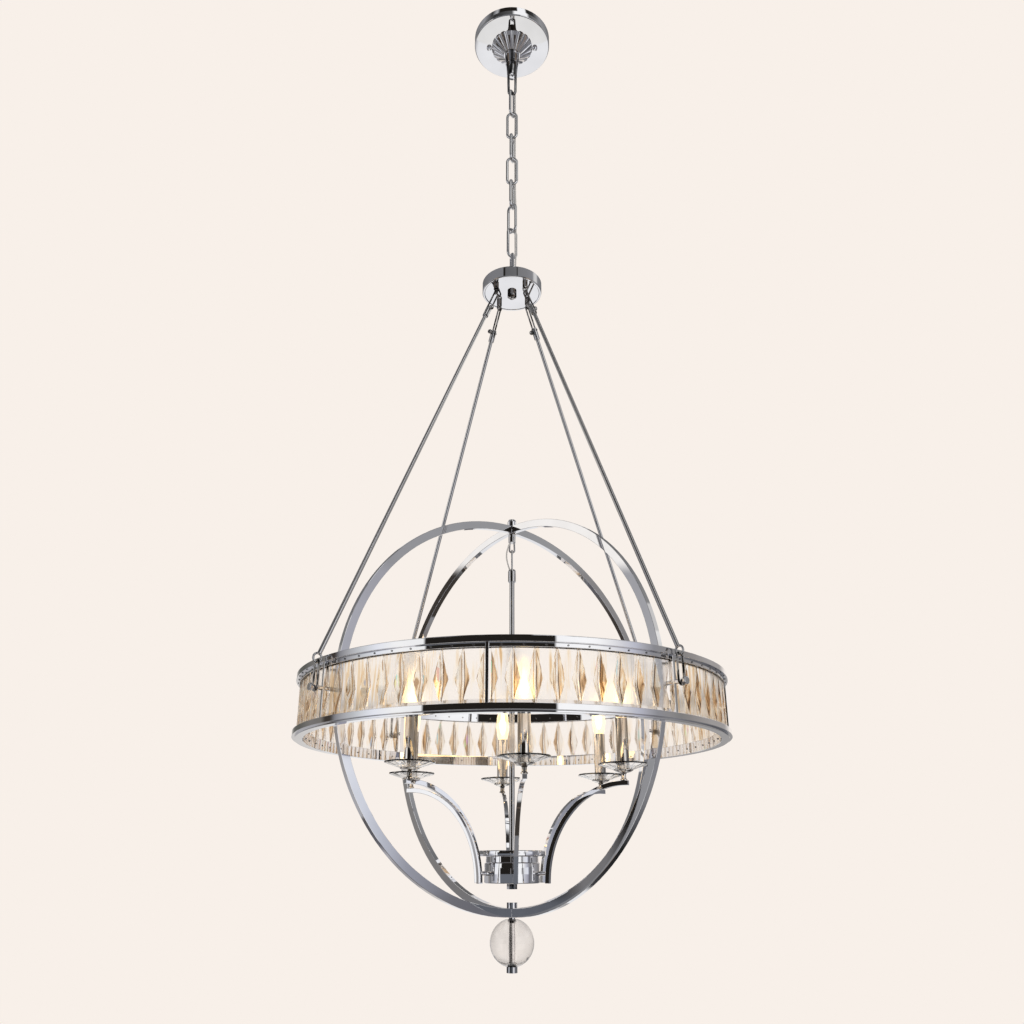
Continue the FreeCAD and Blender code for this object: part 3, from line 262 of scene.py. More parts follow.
bpy.ops.object.select_all(action="DESELECT")
bpy.ops.mesh.primitive_circle_add(vertices=96, radius=FLOOR_RADIUS, fill_type="NGON",
                                  location=(0.0, 0.0, FLOOR_LEVEL))
studio_floor = bpy.context.object
studio_floor.name = "studio_floor"
bpy.ops.object.transform_apply(location=True, rotation=True, scale=True)
floor_paint, floor_tree, floor_shader = new_finish("floor_paint")
floor_shader.inputs["Base Color"].default_value = FLOOR_COLOUR
floor_shader.inputs["Roughness"].default_value = 1.0
floor_shader.inputs["Specular IOR Level"].default_value = 0.0
studio_floor.data.materials.append(floor_paint)
studio_floor.visible_glossy = False
studio_floor.visible_transmission = False


# Lead beside the chain: a thin flexible lead in clear silver plastic. It comes out
# of the holder, runs down beside the links and goes into the hub's collar, and it
# is cut at the middle of each link into one length for each joint.
LEAD_RADIUS = 0.0016
LEAD_OFFSET = 0.008
LEAD_BEARINGS = [30.5, 29.0, 33.5, 37.5, 36.0, 15.0, -3.0, -20.0]
LEAD_TOP = (0.0064, 0.0042, -0.1115)
LEAD_END = (0.0066, -0.0034, -0.6333)
BELOW_LEAD = -0.70
LEAD_SMOOTH = 50.0


def bumped(tree, shader, height, strength, distance):
    """Raise the surface by height."""
    bump = tree.nodes.new("ShaderNodeBump")
    bump.inputs["Strength"].default_value = strength
    bump.inputs["Distance"].default_value = distance
    tree.links.new(height, bump.inputs["Height"])
    tree.links.new(bump.outputs["Normal"], shader.inputs["Normal"])


def pick(*pieces):
    """Select these pieces and no others, the first of them to be worked on."""
    bpy.ops.object.select_all(action="DESELECT")
    for piece in pieces:
        piece.select_set(True)
    bpy.context.view_layer.objects.active = pieces[0]


def laid_lead(name, points, radius):
    """A round lead on the smooth line of its route, and the points of that line."""
    route = bpy.data.curves.new(name + "_route", "CURVE")
    route.dimensions = "3D"
    spline = route.splines.new("NURBS")
    spline.points.add(len(points) - 1)
    for knot, place in zip(spline.points, points):
        knot.co = (*place, 1.0)
    spline.order_u = 3
    spline.use_endpoint_u = True
    route.resolution_u = 10
    lead = bpy.data.objects.new(name, route)
    bpy.context.collection.objects.link(lead)
    line = bpy.data.meshes.new_from_object(lead)
    path = [tuple(vertex.co) for vertex in line.vertices]
    route.bevel_depth = radius
    route.bevel_resolution = 3
    route.use_fill_caps = True
    pick(lead)
    bpy.ops.object.convert(target="MESH")
    bpy.ops.object.shade_smooth_by_angle(angle=math.radians(LEAD_SMOOTH))
    lead.data.materials.clear()
    lead.data.materials.append(lead_plastic)
    return lead, path


lead_plastic, lead_tree, lead_shader = new_finish("lead_plastic")
lead_shader.inputs["Roughness"].default_value = 0.22
lead_shader.inputs["Coat Weight"].default_value = 0.6
lead_place = lead_tree.nodes.new("ShaderNodeTexCoord")
lead_strands = lead_tree.nodes.new("ShaderNodeTexWave")
lead_strands.wave_type = "BANDS"
lead_strands.bands_direction = "Z"
lead_strands.inputs["Scale"].default_value = 170.0
lead_strands.inputs["Distortion"].default_value = 1.6
lead_tree.links.new(lead_place.outputs["Object"], lead_strands.inputs["Vector"])
lead_colour = ramp(lead_tree, lead_strands.outputs["Fac"],
                   ((0.0, (0.30, 0.29, 0.28)), (1.0, (0.72, 0.71, 0.69))))
lead_tree.links.new(lead_colour, lead_shader.inputs["Base Color"])
bumped(lead_tree, lead_shader, lead_strands.outputs["Fac"], 0.25, 0.0004)

chain_joints = [joint for joint in frame["joints"] if joint["name"] != "lights_swing"]
pivots = [joint["pos_m"][2] for joint in chain_joints]
lead_points = [LEAD_TOP]
for angle, height in zip(LEAD_BEARINGS, pivots):
    lead_points.append((LEAD_OFFSET * math.cos(math.radians(angle)),
                        LEAD_OFFSET * math.sin(math.radians(angle)), height))
lead_points.append(LEAD_END)
whole_lead = laid_lead("chain_lead", lead_points, LEAD_RADIUS)[0]
cuts = [0.0] + [(high + low) / 2 for high, low in zip(pivots, pivots[1:])] + [BELOW_LEAD]
for number, joint in enumerate(chain_joints):
    pick(whole_lead)
    bpy.ops.object.duplicate()
    length = bpy.context.object
    length.name = "chain_lead_" + str(number + 1)
    bpy.ops.object.mode_set(mode="EDIT")
    bpy.ops.mesh.select_all(action="SELECT")
    if number > 0:
        bpy.ops.mesh.bisect(plane_co=(0, 0, cuts[number]), plane_no=(0, 0, 1),
                            clear_outer=True, use_fill=True)
        bpy.ops.mesh.select_all(action="SELECT")
    if number < len(chain_joints) - 1:
        bpy.ops.mesh.bisect(plane_co=(0, 0, cuts[number + 1]), plane_no=(0, 0, 1),
                            clear_inner=True, use_fill=True)
    bpy.ops.object.mode_set(mode="OBJECT")
    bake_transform(length)
    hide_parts("lead_cord")
bpy.data.objects.remove(whole_lead)


# Short lead at the top of the stem: the same kind of lead, free in a small bow from
# the fixed coupling to the one that swings with the lights.
SHORT_LEAD_RADIUS = 0.0013
COUPLING_LOW = -1.21355
STEM_COUPLING_TOP = -1.26395
short_points = [(-0.0035, -0.0032, COUPLING_LOW - 0.0005), (-0.0072, -0.0030, COUPLING_LOW - 0.009),
                (-0.0104, -0.0024, COUPLING_LOW - 0.024), (-0.0075, -0.0018, STEM_COUPLING_TOP + 0.010),
                (-0.0041, -0.0014, STEM_COUPLING_TOP + 0.0005)]
short_lead, short_path = laid_lead("stem_top_lead", short_points, SHORT_LEAD_RADIUS)
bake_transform(short_lead)
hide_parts("stem_lead")


# Canopy: a spun steel pan, polished and chrome plated, held to the crossbar by two
# studs with domed cap nuts, with a fluted rosette, a turned collar and the tapered
# holder whose loop carries the chain.
PAN_EDGE = 0.0006
ROSETTE_EDGE = 0.0003
SEAM_WIDTH = 0.00002
SHARP_CORNER = 40.0
SMOOTH_UP_TO = 18.0
WAVE_DEPTH = 0.0012
cad = frame["nodes"]
body_of_node = {}
for body, group in frame["record"]["behaviour"]["bodies"].items():
    for node in group:
        body_of_node[node] = body


def clouds(tree, scale, detail=2.0, distortion=0.0, place=None):
    """Soft clouds of a given scale through a piece, or over the place that is given."""
    cloud = tree.nodes.new("ShaderNodeTexNoise")
    cloud.inputs["Scale"].default_value = scale
    cloud.inputs["Detail"].default_value = detail
    cloud.inputs["Distortion"].default_value = distortion
    if place is None:
        place = tree.nodes.new("ShaderNodeTexCoord").outputs["Object"]
    tree.links.new(place, cloud.inputs["Vector"])
    return cloud.outputs["Fac"]


def polished(tree, shader, factor, smoothest, roughest):
    """A polish that wanders between two roughnesses."""
    polish = tree.nodes.new("ShaderNodeMapRange")
    polish.inputs["To Min"].default_value = smoothest
    polish.inputs["To Max"].default_value = roughest
    tree.links.new(factor, polish.inputs["Value"])
    tree.links.new(polish.outputs["Result"], shader.inputs["Roughness"])


def chrome_plate(name, tint=(0.93, 0.93, 0.95), haze=0.02, ripple=0.05, dark_tone_and_reflection=0.93, tone_and_reflection_stretch=(22, 22, 22)):
    """Chrome on polished steel: a mirror with a little haze and faint waves. Its darker
    patches keep a given share of the tint. From 0.9 up they are a faint tone that differs
    at random; below 0.9 they are sharp and narrow painted dark reflections, as on a small
    piece that shows the many others round it."""
    plate, tree, shader = new_finish(name)
    shader.inputs["Metallic"].default_value = 1.0
    stretch = tree.nodes.new("ShaderNodeVectorMath")
    stretch.operation = "MULTIPLY"
    stretch.inputs[1].default_value = tone_and_reflection_stretch
    place = tree.nodes.new("ShaderNodeTexCoord")
    tree.links.new(place.outputs["Object"], stretch.inputs[0])
    tone = clouds(tree, 1.0, detail=4.0, place=stretch.outputs["Vector"])
    polished(tree, shader, tone, haze * 0.4, haze * 1.8)
    # Darker patches in the colour: a faint random tone, or painted dark reflections below 0.9.
    starts, ends = (0.3, 0.7) if dark_tone_and_reflection > 0.9 else (0.44, 0.56)
    dark_tone_and_reflection_tint = tuple(dark_tone_and_reflection * part for part in tint)
    tree.links.new(ramp(tree, tone, ((starts, dark_tone_and_reflection_tint), (ends, tint))), shader.inputs["Base Color"])
    bumped(tree, shader, clouds(tree, 9.0, detail=0.5), ripple, WAVE_DEPTH)
    return plate


def finish_node(node, finish):
    """Give a CAD piece its finish and leave its shape alone."""
    cad[node].data.materials.clear()
    cad[node].data.materials.append(finish)


def merged_copy(node, finish):
    """A copy of a CAD piece with its faces joined, ready to be worked on."""
    pick(cad[node])
    bpy.ops.object.duplicate()
    copy = bpy.context.object
    copy.name = node + "_finished"
    del copy["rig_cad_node"]
    bpy.ops.mesh.customdata_custom_splitnormals_clear()
    bpy.ops.object.mode_set(mode="EDIT")
    bpy.ops.mesh.select_all(action="SELECT")
    bpy.ops.mesh.remove_doubles(threshold=SEAM_WIDTH)
    bpy.ops.object.mode_set(mode="OBJECT")
    copy.data.materials.clear()
    copy.data.materials.append(finish)
    return copy


def eased(node, edge, finish, rounds=2):
    """A CAD piece with its sharp edges polished to a small round, in its place."""
    piece = merged_copy(node, finish)
    polish = piece.modifiers.new("polished_edges", "BEVEL")
    polish.width = edge
    polish.segments = rounds
    polish.limit_method = "ANGLE"
    polish.angle_limit = math.radians(SHARP_CORNER)
    bpy.ops.object.modifier_apply(modifier=polish.name)
    bpy.ops.object.shade_smooth_by_angle(angle=math.radians(SMOOTH_UP_TO))
    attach(piece, body_of_node[node])
    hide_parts(node)


canopy_chrome = chrome_plate("canopy_chrome")
# The holder's chrome has narrow dark upright streaks in its colour: painted reflections.
holder_chrome = chrome_plate("holder_chrome", ripple=0.0, dark_tone_and_reflection=0.12, tone_and_reflection_stretch=(170, 170, 8))
plain_steel = chrome_plate("zinc_plated_steel", tint=(0.62, 0.62, 0.60), haze=0.22, ripple=0.3)
finish_node("crossbar", plain_steel)
finish_node("canopy_studs", plain_steel)
finish_node("canopy_cap_nuts", canopy_chrome)
finish_node("canopy_loop", holder_chrome)
eased("canopy_pan", PAN_EDGE, canopy_chrome)
eased("canopy_rosette", ROSETTE_EDGE, canopy_chrome)
eased("canopy_collar", PAN_EDGE, holder_chrome)


# Chain: seven long oval links of chrome plated wire, each hung in the one above it
# and turned to its own side.
link_chrome = chrome_plate("link_chrome", tint=(0.93, 0.93, 0.94), haze=0.05, ripple=0.0)
for number in range(1, 8):
    finish_node("chain_link_" + str(number), link_chrome)


# Hub: a spun drum with a rolled lip and a domed lid, carried by its collar and loop,
# with a nut under its middle and four screwed eyes for the rods.
HUB_EDGE = 0.0006
NUT_EDGE = 0.0004
hub_chrome = chrome_plate("hub_chrome")
# The small chrome pieces have sharp dark mottles in their colour: painted reflections.
small_chrome = chrome_plate("small_chrome", tint=(0.62, 0.60, 0.58), haze=0.04, ripple=0.0, dark_tone_and_reflection=0.06,
                            tone_and_reflection_stretch=(190, 190, 70))
finish_node("hub_loop", hub_chrome)
finish_node("hub_eyes", small_chrome)
eased("hub_drum", HUB_EDGE, hub_chrome)
eased("hub_lid", HUB_EDGE, hub_chrome)
eased("hub_nut", NUT_EDGE, small_chrome)


# Suspension: four plated steel rods, each with a wire link and a clevis at the hub
# and an eye and a stirrup at the ring, fastened by small knob bolts.
rod_chrome = chrome_plate("rod_chrome", tint=(0.70, 0.69, 0.69), haze=0.08, ripple=0.0)
finish_node("suspension_rods", rod_chrome)
for node in ("rod_top_links", "rod_bolts", "rod_stirrups"):
    finish_node(node, small_chrome)


# Ring: two rolled and plated rims, each a channel with a flat band round its outside,
# joined by eight posts. Small domed screws through the channels hold the crystals.
RIM_EDGE = 0.0004
BAND_THICK = 0.0045
CHANNEL_DEPTH = 0.0126
SCREW_RADIUS = 0.0013
SCREW_LENGTH = 0.0016
SCREW_PROUD = 0.0001
DOME_INSET = 0.35 * SCREW_RADIUS
DOME_RISE = 0.3 * SCREW_LENGTH
OUTER_SCREW_DROP = 0.0131
INNER_SCREW_DROP = 0.0085
BAYS = 8
BAY_STEP = 360.0 / BAYS
BAY_GAP = 1.2
FIRST_BAY = -50.3
CRYSTALS_IN_BAY = 9
CRYSTAL_STEP = (BAY_STEP - BAY_GAP) / CRYSTALS_IN_BAY
rim_chrome = chrome_plate("rim_chrome", haze=0.014, ripple=0.02)
for node in ("upper_rim", "lower_rim", "ring_posts"):
    eased(node, RIM_EDGE, rim_chrome)
finish_node("ring_studs", rim_chrome)


def joined_copies(pattern, name, places):
    """One piece made of copies of a pattern, each at its place and turn."""
    copies = []
    for place, turned in places:
        one = pattern.copy()
        one.data = pattern.data.copy()
        bpy.context.collection.objects.link(one)
        one.rotation_euler = turned
        one.location = place
        copies.append(one)
    pick(*copies)
    bpy.ops.object.join()
    joined = bpy.context.object
    joined.name = name
    bpy.ops.object.transform_apply(location=True, rotation=True, scale=True)
    bpy.data.objects.remove(pattern)
    return joined


bpy.ops.object.select_all(action="DESELECT")
bpy.ops.mesh.primitive_cylinder_add(vertices=10, radius=SCREW_RADIUS, depth=SCREW_LENGTH)
screw_head = bpy.context.object
screw_head.name = "channel_screws"
bpy.ops.object.mode_set(mode="EDIT")
bpy.ops.mesh.select_all(action="DESELECT")
head = bmesh.from_edit_mesh(screw_head.data)
for face in head.faces:
    face.select = face.normal.z > 0.9
bmesh.update_edit_mesh(screw_head.data)
bpy.ops.mesh.inset(thickness=DOME_INSET)
bpy.ops.transform.translate(value=(0, 0, DOME_RISE))
bpy.ops.object.mode_set(mode="OBJECT")

ring_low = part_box("lower_rim")[0].z
ring_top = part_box("upper_rim")[1].z
channel_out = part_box("upper_rim")[1].x - BAND_THICK
channel_in = channel_out - CHANNEL_DEPTH
screw_places = []
for half_turn, radius, height in ((0.0, channel_out + SCREW_PROUD, ring_top - OUTER_SCREW_DROP),
                                  (math.pi, channel_in - SCREW_PROUD, ring_top - INNER_SCREW_DROP),
                                  (math.pi, channel_in - SCREW_PROUD, ring_low + INNER_SCREW_DROP)):
    for bay in range(BAYS):
        for number in range(CRYSTALS_IN_BAY):
            bearing = FIRST_BAY + BAY_STEP * bay + BAY_GAP / 2 + (number + 0.5) * CRYSTAL_STEP
            angle = math.radians(bearing)
            screw_places.append(((radius * math.sin(angle), -radius * math.cos(angle), height),
                                 (math.pi / 2, 0.0, angle + half_turn)))
rim_screws = joined_copies(screw_head, "rim_screws", screw_places)
bpy.ops.object.shade_smooth_by_angle(angle=math.radians(SHARP_CORNER))
screw_steel = chrome_plate("screw_steel", tint=(0.50, 0.49, 0.48), haze=0.10, ripple=0.0)
rim_screws.data.materials.append(screw_steel)
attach(rim_screws, "basket")


# Crystals: clear cut glass blocks, nine in each bay. Both front corners are ground
# back to a waist, so that two neighbours make one diamond between them, with painted
# pale light on its left half and painted amber light and shade on its right one.
GROUND_EDGE = 0.0005
GROUND_CORNER = 30.0
FRONT_FACE = 0.96
SIDE_FACE = 0.4
PALE_SIDE = 1
AMBER_SIDE = 2
GROUND_SIDE = 3
GLASS_BEND = 1.18
# Crystals at the sides, between these bearings, get livelier painted light.
BUSY_MIDDLE = 0.17
BUSY_FROM = 0.55
BUSY_TO = 1.7
# Painted light in the facets: its contrast, paler towards the top, a dark line near each joint, a highlight
# along it and rare rainbow glints.
PAINTED_LIGHT_CONTRAST = 2.5
BUSY_PAINTED_LIGHT = 0.6
PAINTED_LIGHT_UPWARD = 0.40
PAINTED_LIGHT_AT_FOOT = 0.22
LINE_FROM_JOINT = 0.070
LINE_WIDTH = 0.020
PAINTED_LINE_DARKER = 0.60
JOINT_WIDTH = 0.050
JOINT_HIGHLIGHT = 0.60
SPARK_SCALE = 4.5
SPARKS_ABOVE = 0.975
BUSY_STREAKS = 1.1
crystal_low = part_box("crystals_1")[0].z
crystal_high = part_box("crystals_1")[1].z


def cut_glass(name, streaks, fine, see_through, roughness):
    """Glass that knows its place across and up its own crystal, where the crystals at
    the sides get livelier painted light, and the line along which its streaks lie."""
    material, tree, shader = new_finish(name)
    shader.inputs["IOR"].default_value = GLASS_BEND
    shader.inputs["Transmission Weight"].default_value = see_through
    shader.inputs["Roughness"].default_value = roughness
    place = tree.nodes.new("ShaderNodeTexCoord")
    parts = tree.nodes.new("ShaderNodeSeparateXYZ")
    tree.links.new(place.outputs["Object"], parts.inputs["Vector"])
    bearing = sum_of(tree, "ARCTAN2", parts.outputs["X"], sum_of(tree, "MULTIPLY", parts.outputs["Y"], -1.0))
    degrees = sum_of(tree, "ADD", sum_of(tree, "DEGREES", bearing), 360.0 - FIRST_BAY - BAY_GAP / 2)
    in_bay = sum_of(tree, "FLOORED_MODULO", degrees, BAY_STEP)
    across = sum_of(tree, "FRACT", sum_of(tree, "DIVIDE", in_bay, CRYSTAL_STEP))
    rise = sum_of(tree, "SUBTRACT", parts.outputs["Z"], crystal_low)
    upward = sum_of(tree, "DIVIDE", rise, crystal_high - crystal_low)
    # busy: the crystals at the sides, which get livelier painted light.
    to_side = sum_of(tree, "ABSOLUTE", sum_of(tree, "SUBTRACT", bearing, BUSY_MIDDLE))
    busy = sum_of(tree, "MULTIPLY", sum_of(tree, "GREATER_THAN", to_side, BUSY_FROM),
                  sum_of(tree, "LESS_THAN", to_side, BUSY_TO))
    spread = tree.nodes.new("ShaderNodeCombineXYZ")
    around = sum_of(tree, "DIVIDE", degrees, CRYSTAL_STEP)
    tree.links.new(sum_of(tree, "MULTIPLY", around, streaks), spread.inputs["X"])
    tree.links.new(sum_of(tree, "MULTIPLY", upward, fine), spread.inputs["Y"])
    return SimpleNamespace(material=material, tree=tree, shader=shader, across=across, upward=upward,
                           busy=busy, spread=spread.outputs["Vector"])


def facet_glass(name, see_through, painted_light_stops):
    """Ground facets: painted light for what is seen in their depth, paler towards the top,
    with a painted dark line near each joint, a painted highlight along the joint and now and then a painted
    rainbow glint.
    """
    glass = cut_glass(name, 3.0, 1.2, see_through, 0.06)
    tree = glass.tree
    depth = clouds(tree, 1.4, detail=4.0, distortion=1.4, place=glass.spread)
    # Painted light: contrast, livelier at the sides, and paler towards the top.
    shade = sum_of(tree, "MULTIPLY", sum_of(tree, "SUBTRACT", depth, 0.5), PAINTED_LIGHT_CONTRAST)
    livelier = sum_of(tree, "ADD", sum_of(tree, "MULTIPLY", glass.busy, BUSY_PAINTED_LIGHT), 1.0)
    shade = sum_of(tree, "MULTIPLY", shade, livelier)
    from_foot = sum_of(tree, "MULTIPLY", glass.upward, PAINTED_LIGHT_UPWARD)
    shade = sum_of(tree, "ADD", shade, sum_of(tree, "ADD", from_foot, PAINTED_LIGHT_AT_FOOT))
    # A painted dark line near each joint and a painted highlight along the joint.
    from_joint = sum_of(tree, "MINIMUM", glass.across, sum_of(tree, "SUBTRACT", 1.0, glass.across))
    off_line = sum_of(tree, "ABSOLUTE", sum_of(tree, "SUBTRACT", from_joint, LINE_FROM_JOINT))
    painted_dark_line = sum_of(tree, "LESS_THAN", off_line, LINE_WIDTH)
    shade = sum_of(tree, "SUBTRACT", shade, sum_of(tree, "MULTIPLY", painted_dark_line, PAINTED_LINE_DARKER))
    joint_highlight = sum_of(tree, "LESS_THAN", from_joint, JOINT_WIDTH)
    shade = sum_of(tree, "ADD", shade, sum_of(tree, "MULTIPLY", joint_highlight, JOINT_HIGHLIGHT))
    # Now and then a painted rainbow glint.
    cells = tree.nodes.new("ShaderNodeTexVoronoi")
    cells.inputs["Scale"].default_value = SPARK_SCALE
    tree.links.new(glass.spread, cells.inputs["Vector"])
    cell_parts = tree.nodes.new("ShaderNodeSeparateColor")
    tree.links.new(cells.outputs["Color"], cell_parts.inputs["Color"])
    spark = tree.nodes.new("ShaderNodeCombineColor")
    spark.mode = "HSV"
    spark.inputs["Green"].default_value = 0.60
    spark.inputs["Blue"].default_value = 0.85
    tree.links.new(cell_parts.outputs["Green"], spark.inputs["Red"])
    now_and_then = sum_of(tree, "GREATER_THAN", cell_parts.outputs["Red"], SPARKS_ABOVE)
    colour = mixed(tree, now_and_then, ramp(tree, shade, painted_light_stops), spark.outputs["Color"])
    tree.links.new(colour, glass.shader.inputs["Base Color"])
    return glass.material


clear = cut_glass("clear_crystal", 3.0, 0.7, 1.0, 0.30)
streaks = clouds(clear.tree, 1.5, detail=1.0, distortion=0.5, place=clear.spread)
swing = sum_of(clear.tree, "ADD", sum_of(clear.tree, "MULTIPLY", clear.busy, BUSY_STREAKS), 1.0)
painted_streak_light = sum_of(clear.tree, "MULTIPLY", sum_of(clear.tree, "SUBTRACT", streaks, 0.5), swing)
painted_streak_light = sum_of(clear.tree, "ADD", painted_streak_light, 0.5)
# Painted light in the clear glass: golden streaks and white highlights, livelier on the crystals at the
# sides.
clear_colour = ramp(clear.tree, painted_streak_light, ((0.24, (0.80, 0.57, 0.32)), (0.31, (1.0, 0.94, 0.82)),
                                              (0.38, (1.0, 0.995, 0.985)), (0.64, (1.0, 0.995, 0.985)),
                                              (0.70, (0.95, 0.80, 0.58)), (0.76, (1.0, 1.0, 1.0))))
clear.tree.links.new(clear_colour, clear.shader.inputs["Base Color"])
bumped(clear.tree, clear.shader, streaks, 0.25, 0.0010)

# The facets' colours are painted light: pale on one half of each diamond, amber light and shade on the
# other.
painted_pale_facet = facet_glass("painted_pale_facet", 0.85, ((0.0, (0.34, 0.18, 0.08)), (0.10, (0.86, 0.64, 0.38)),
                                              (0.26, (1.0, 0.90, 0.72)), (0.60, (1.0, 0.97, 0.90))))
painted_amber_facet = facet_glass("painted_amber_facet", 0.70, ((0.0, (0.05, 0.02, 0.008)), (0.10, (0.32, 0.15, 0.055)),
                                                (0.28, (0.62, 0.34, 0.14)), (0.50, (0.82, 0.55, 0.30)),
                                                (0.72, (0.97, 0.80, 0.56)), (0.90, (1.0, 0.96, 0.86))))

# The ground edges' colour is painted light: mostly white highlights, in places a painted dark line.
ground = cut_glass("ground_edge", 2.0, 3.0, 0.7, 0.15)
ground_edge_painted_light = ramp(ground.tree, clouds(ground.tree, 2.0, place=ground.spread),
                     ((0.36, (0.22, 0.11, 0.045)), (0.46, (0.80, 0.58, 0.34)), (0.54, (1.0, 0.97, 0.91))))
ground.tree.links.new(ground_edge_painted_light, ground.shader.inputs["Base Color"])

for number in range(1, 5):
    node = "crystals_" + str(number)
    blocks = merged_copy(node, clear.material)
    for facet in (painted_pale_facet, painted_amber_facet, ground.material):
        blocks.data.materials.append(facet)
    for face in blocks.data.polygons:
        outward = Vector((face.center.x, face.center.y, 0.0)).normalized()
        # One facet of each diamond gets the painted pale light, the other the painted amber light and shade.
        if SIDE_FACE < face.normal.dot(outward) < FRONT_FACE:
            rightward = Vector((-outward.y, outward.x, 0.0))
            face.material_index = PALE_SIDE if face.normal.dot(rightward) > 0 else AMBER_SIDE
    grinding = blocks.modifiers.new("ground_edges", "BEVEL")
    grinding.width = GROUND_EDGE
    grinding.segments = 1
    grinding.material = GROUND_SIDE
    grinding.limit_method = "ANGLE"
    grinding.angle_limit = math.radians(GROUND_CORNER)
    bpy.ops.object.modifier_apply(modifier=grinding.name)
    bpy.ops.object.shade_flat()
    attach(blocks, body_of_node[node])
    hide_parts(node)


# Hoops: two flat oval bars, ground flat on all sides and plated, that cross at both
# poles in a half lap and are held at the posts by spacers.
BAR_EDGE = 0.0005
hoop_chrome = chrome_plate("hoop_chrome", tint=(0.90, 0.90, 0.92), haze=0.02, ripple=0.03)
eased("hoop_front_left", BAR_EDGE, hoop_chrome)
eased("hoop_front_right", BAR_EDGE, hoop_chrome)


# Top pole: the cap nut above the hoops and the coupling below them, whose wire loop
# carries the loop of the stem.
eased("pole_cap_nut", NUT_EDGE, hoop_chrome)
for node in ("upper_coupling", "stem_coupling", "stem_tube"):
    finish_node(node, rod_chrome)


# Light hub: a spun and plated spool under a wide flange. It holds the wiring and is
# closed by a nut on the end of the stem.
light_chrome = chrome_plate("light_chrome", ripple=0.02)
eased("light_hub", BAR_EDGE, light_chrome)
eased("light_hub_nut", NUT_EDGE, holder_chrome)


# Arms: six square bars, bent in a quarter oval from the hub up to the candles, and
# screwed to the hub's drum.
ARMS = 6
for number in range(1, ARMS + 1):
    eased("arm_" + str(number), BAR_EDGE, light_chrome)
finish_node("arm_screws", light_chrome)


# Candles: on each arm stand a turned cup, a faceted glass dish, a chrome sleeve
# round its socket and a lit candle bulb with a warm filament in clear glass.
CUP_EDGE = 0.0002
SLEEVE_EDGE = 0.0003
DISH_EDGE = 0.0003
BULB_WALL = 0.0006
FIRST_ARM = 5.3
CANDLE_REACH = 0.187
FLAME_ABOVE_SLEEVE = 0.030
FLAME_RADIUS = 0.0062
FLAME_HALF_HEIGHT = 0.022
FLAME_WAIST = 0.004
FLAME_TAPER = (0.62, 0.62, 1.25)
# The candle chrome's warm tint is painted candle light, and its dark upright streaks are painted
# reflections.
candlelit_chrome = chrome_plate("candle_chrome", tint=(0.95, 0.90, 0.84), haze=0.04, ripple=0.0, dark_tone_and_reflection=0.30,
                           tone_and_reflection_stretch=(150, 150, 5))
eased("candle_cups", CUP_EDGE, candlelit_chrome)
eased("candle_sleeves", SLEEVE_EDGE, candlelit_chrome)

socket_plastic, socket_tree, socket_shader = new_finish("socket_plastic")
socket_shader.inputs["Base Color"].default_value = (0.80, 0.78, 0.73, 1.0)
polished(socket_tree, socket_shader, clouds(socket_tree, 260.0), 0.28, 0.42)
finish_node("candle_sockets", socket_plastic)

dish_glass, dish_tree, dish_shader = new_finish("dish_glass")
dish_shader.inputs["Transmission Weight"].default_value = 1.0
dish_shader.inputs["IOR"].default_value = 1.56
dish_shader.inputs["Base Color"].default_value = (0.93, 0.94, 0.95, 1.0)
polished(dish_tree, dish_shader, clouds(dish_tree, 60.0), 0.0, 0.05)
eased("candle_dishes", DISH_EDGE, dish_glass, rounds=1)

bulb_glass, bulb_tree, bulb_shader = new_finish("bulb_glass")
bulb_shader.inputs["Transmission Weight"].default_value = 0.95
bulb_shader.inputs["IOR"].default_value = 1.45
bulb_shader.inputs["Roughness"].default_value = 0.05
bulb_shader.inputs["Base Color"].default_value = (1.0, 0.90, 0.70, 1.0)
bulb_shader.inputs["Emission Strength"].default_value = 0.32
bulb_colour = ramp(bulb_tree, clouds(bulb_tree, 70.0), ((0.0, (1.0, 0.66, 0.34)), (1.0, (1.0, 0.86, 0.62))))
bulb_tree.links.new(bulb_colour, bulb_shader.inputs["Emission Color"])
bulbs = merged_copy("bulbs", bulb_glass)
bulbs.name = "bulb_envelopes"
envelope = bulbs.modifiers.new("glass_wall", "SOLIDIFY")
envelope.thickness = BULB_WALL
envelope.offset = -1.0
bpy.ops.object.modifier_apply(modifier=envelope.name)
bpy.ops.object.shade_smooth_by_angle(angle=math.radians(SHARP_CORNER))
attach(bulbs, "lights")
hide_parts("bulbs")

bpy.ops.object.select_all(action="DESELECT")
bpy.ops.mesh.primitive_uv_sphere_add(segments=16, ring_count=12, radius=1.0)
flame = bpy.context.object
flame.name = "candle_flame"
bpy.ops.object.mode_set(mode="EDIT")
bpy.ops.mesh.select_all(action="SELECT")
bpy.ops.transform.resize(value=(FLAME_RADIUS, FLAME_RADIUS, FLAME_HALF_HEIGHT))
bpy.ops.mesh.select_all(action="DESELECT")
core = bmesh.from_edit_mesh(flame.data)
for vertex in core.verts:
    vertex.select = vertex.co.z > FLAME_WAIST
core.select_flush(True)
bmesh.update_edit_mesh(flame.data)
bpy.ops.transform.resize(value=FLAME_TAPER, center_override=(0, 0, FLAME_WAIST))
bpy.ops.object.mode_set(mode="OBJECT")

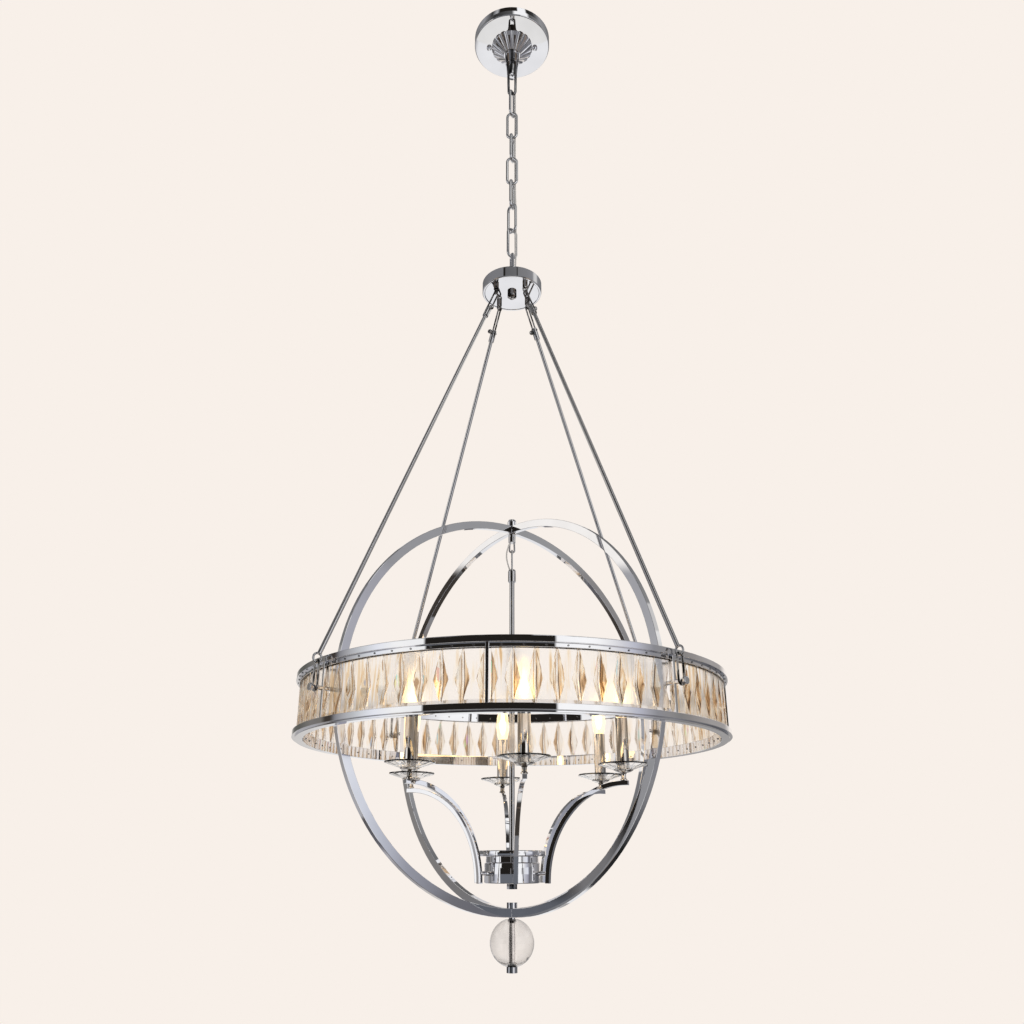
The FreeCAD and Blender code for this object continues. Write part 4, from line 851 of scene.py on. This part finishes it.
flame_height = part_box("candle_sleeves")[1].z + FLAME_ABOVE_SLEEVE
flame_places = []
for number in range(ARMS):
    angle = math.radians(FIRST_ARM + 360.0 / ARMS * number)
    flame_places.append(((CANDLE_REACH * math.sin(angle), -CANDLE_REACH * math.cos(angle), flame_height),
                         (0.0, 0.0, 0.0)))
filaments = joined_copies(flame, "bulb_filaments", flame_places)
bpy.ops.object.shade_smooth()
glow, glow_tree, glow_shader = new_finish("filament_glow")
glow_shader.inputs["Emission Strength"].default_value = 2.0
glow_colour = ramp(glow_tree, clouds(glow_tree, 90.0), ((0.0, (1.0, 0.80, 0.50)), (1.0, (1.0, 0.92, 0.72))))
glow_tree.links.new(glow_colour, glow_shader.inputs["Emission Color"])
filaments.data.materials.append(glow)
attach(filaments, "lights")


# Finial: a rod with a nut inside the orb carries a chrome tube, the clear crystal
# ball round it and the end nut.
TUBE_EDGE = 0.0003
# The tube's dark and white upright stripes in its colour are painted reflections.
tube_chrome = chrome_plate("tube_chrome", haze=0.01, ripple=0.0, dark_tone_and_reflection=0.10, tone_and_reflection_stretch=(420, 420, 4))
eased("finial_rod", TUBE_EDGE, tube_chrome)
eased("end_nut", NUT_EDGE, tube_chrome)
ball_crystal, ball_tree, ball_shader = new_finish("ball_crystal")
ball_shader.inputs["Transmission Weight"].default_value = 1.0
ball_shader.inputs["IOR"].default_value = 1.52
ball_shader.inputs["Roughness"].default_value = 0.0
# The ball's colour is painted shade: grey patches across it and a darker rim.
ball_painted_shade = ramp(ball_tree, clouds(ball_tree, 14.0), ((0.42, (0.76, 0.76, 0.77)), (0.56, (1.0, 0.99, 0.98))))
ball_side = ball_tree.nodes.new("ShaderNodeLayerWeight")
ball_side.inputs["Blend"].default_value = 0.5
ball_painted_rim_shade = ramp(ball_tree, ball_side.outputs["Facing"],
                  ((0.30, (1.0, 1.0, 1.0)), (0.62, (0.80, 0.79, 0.78)), (0.90, (0.26, 0.26, 0.27))))
ball_colour = mixed(ball_tree, 1.0, ball_painted_shade, ball_painted_rim_shade, blend="MULTIPLY")
ball_tree.links.new(ball_colour, ball_shader.inputs["Base Color"])
finish_node("crystal_ball", ball_crystal)
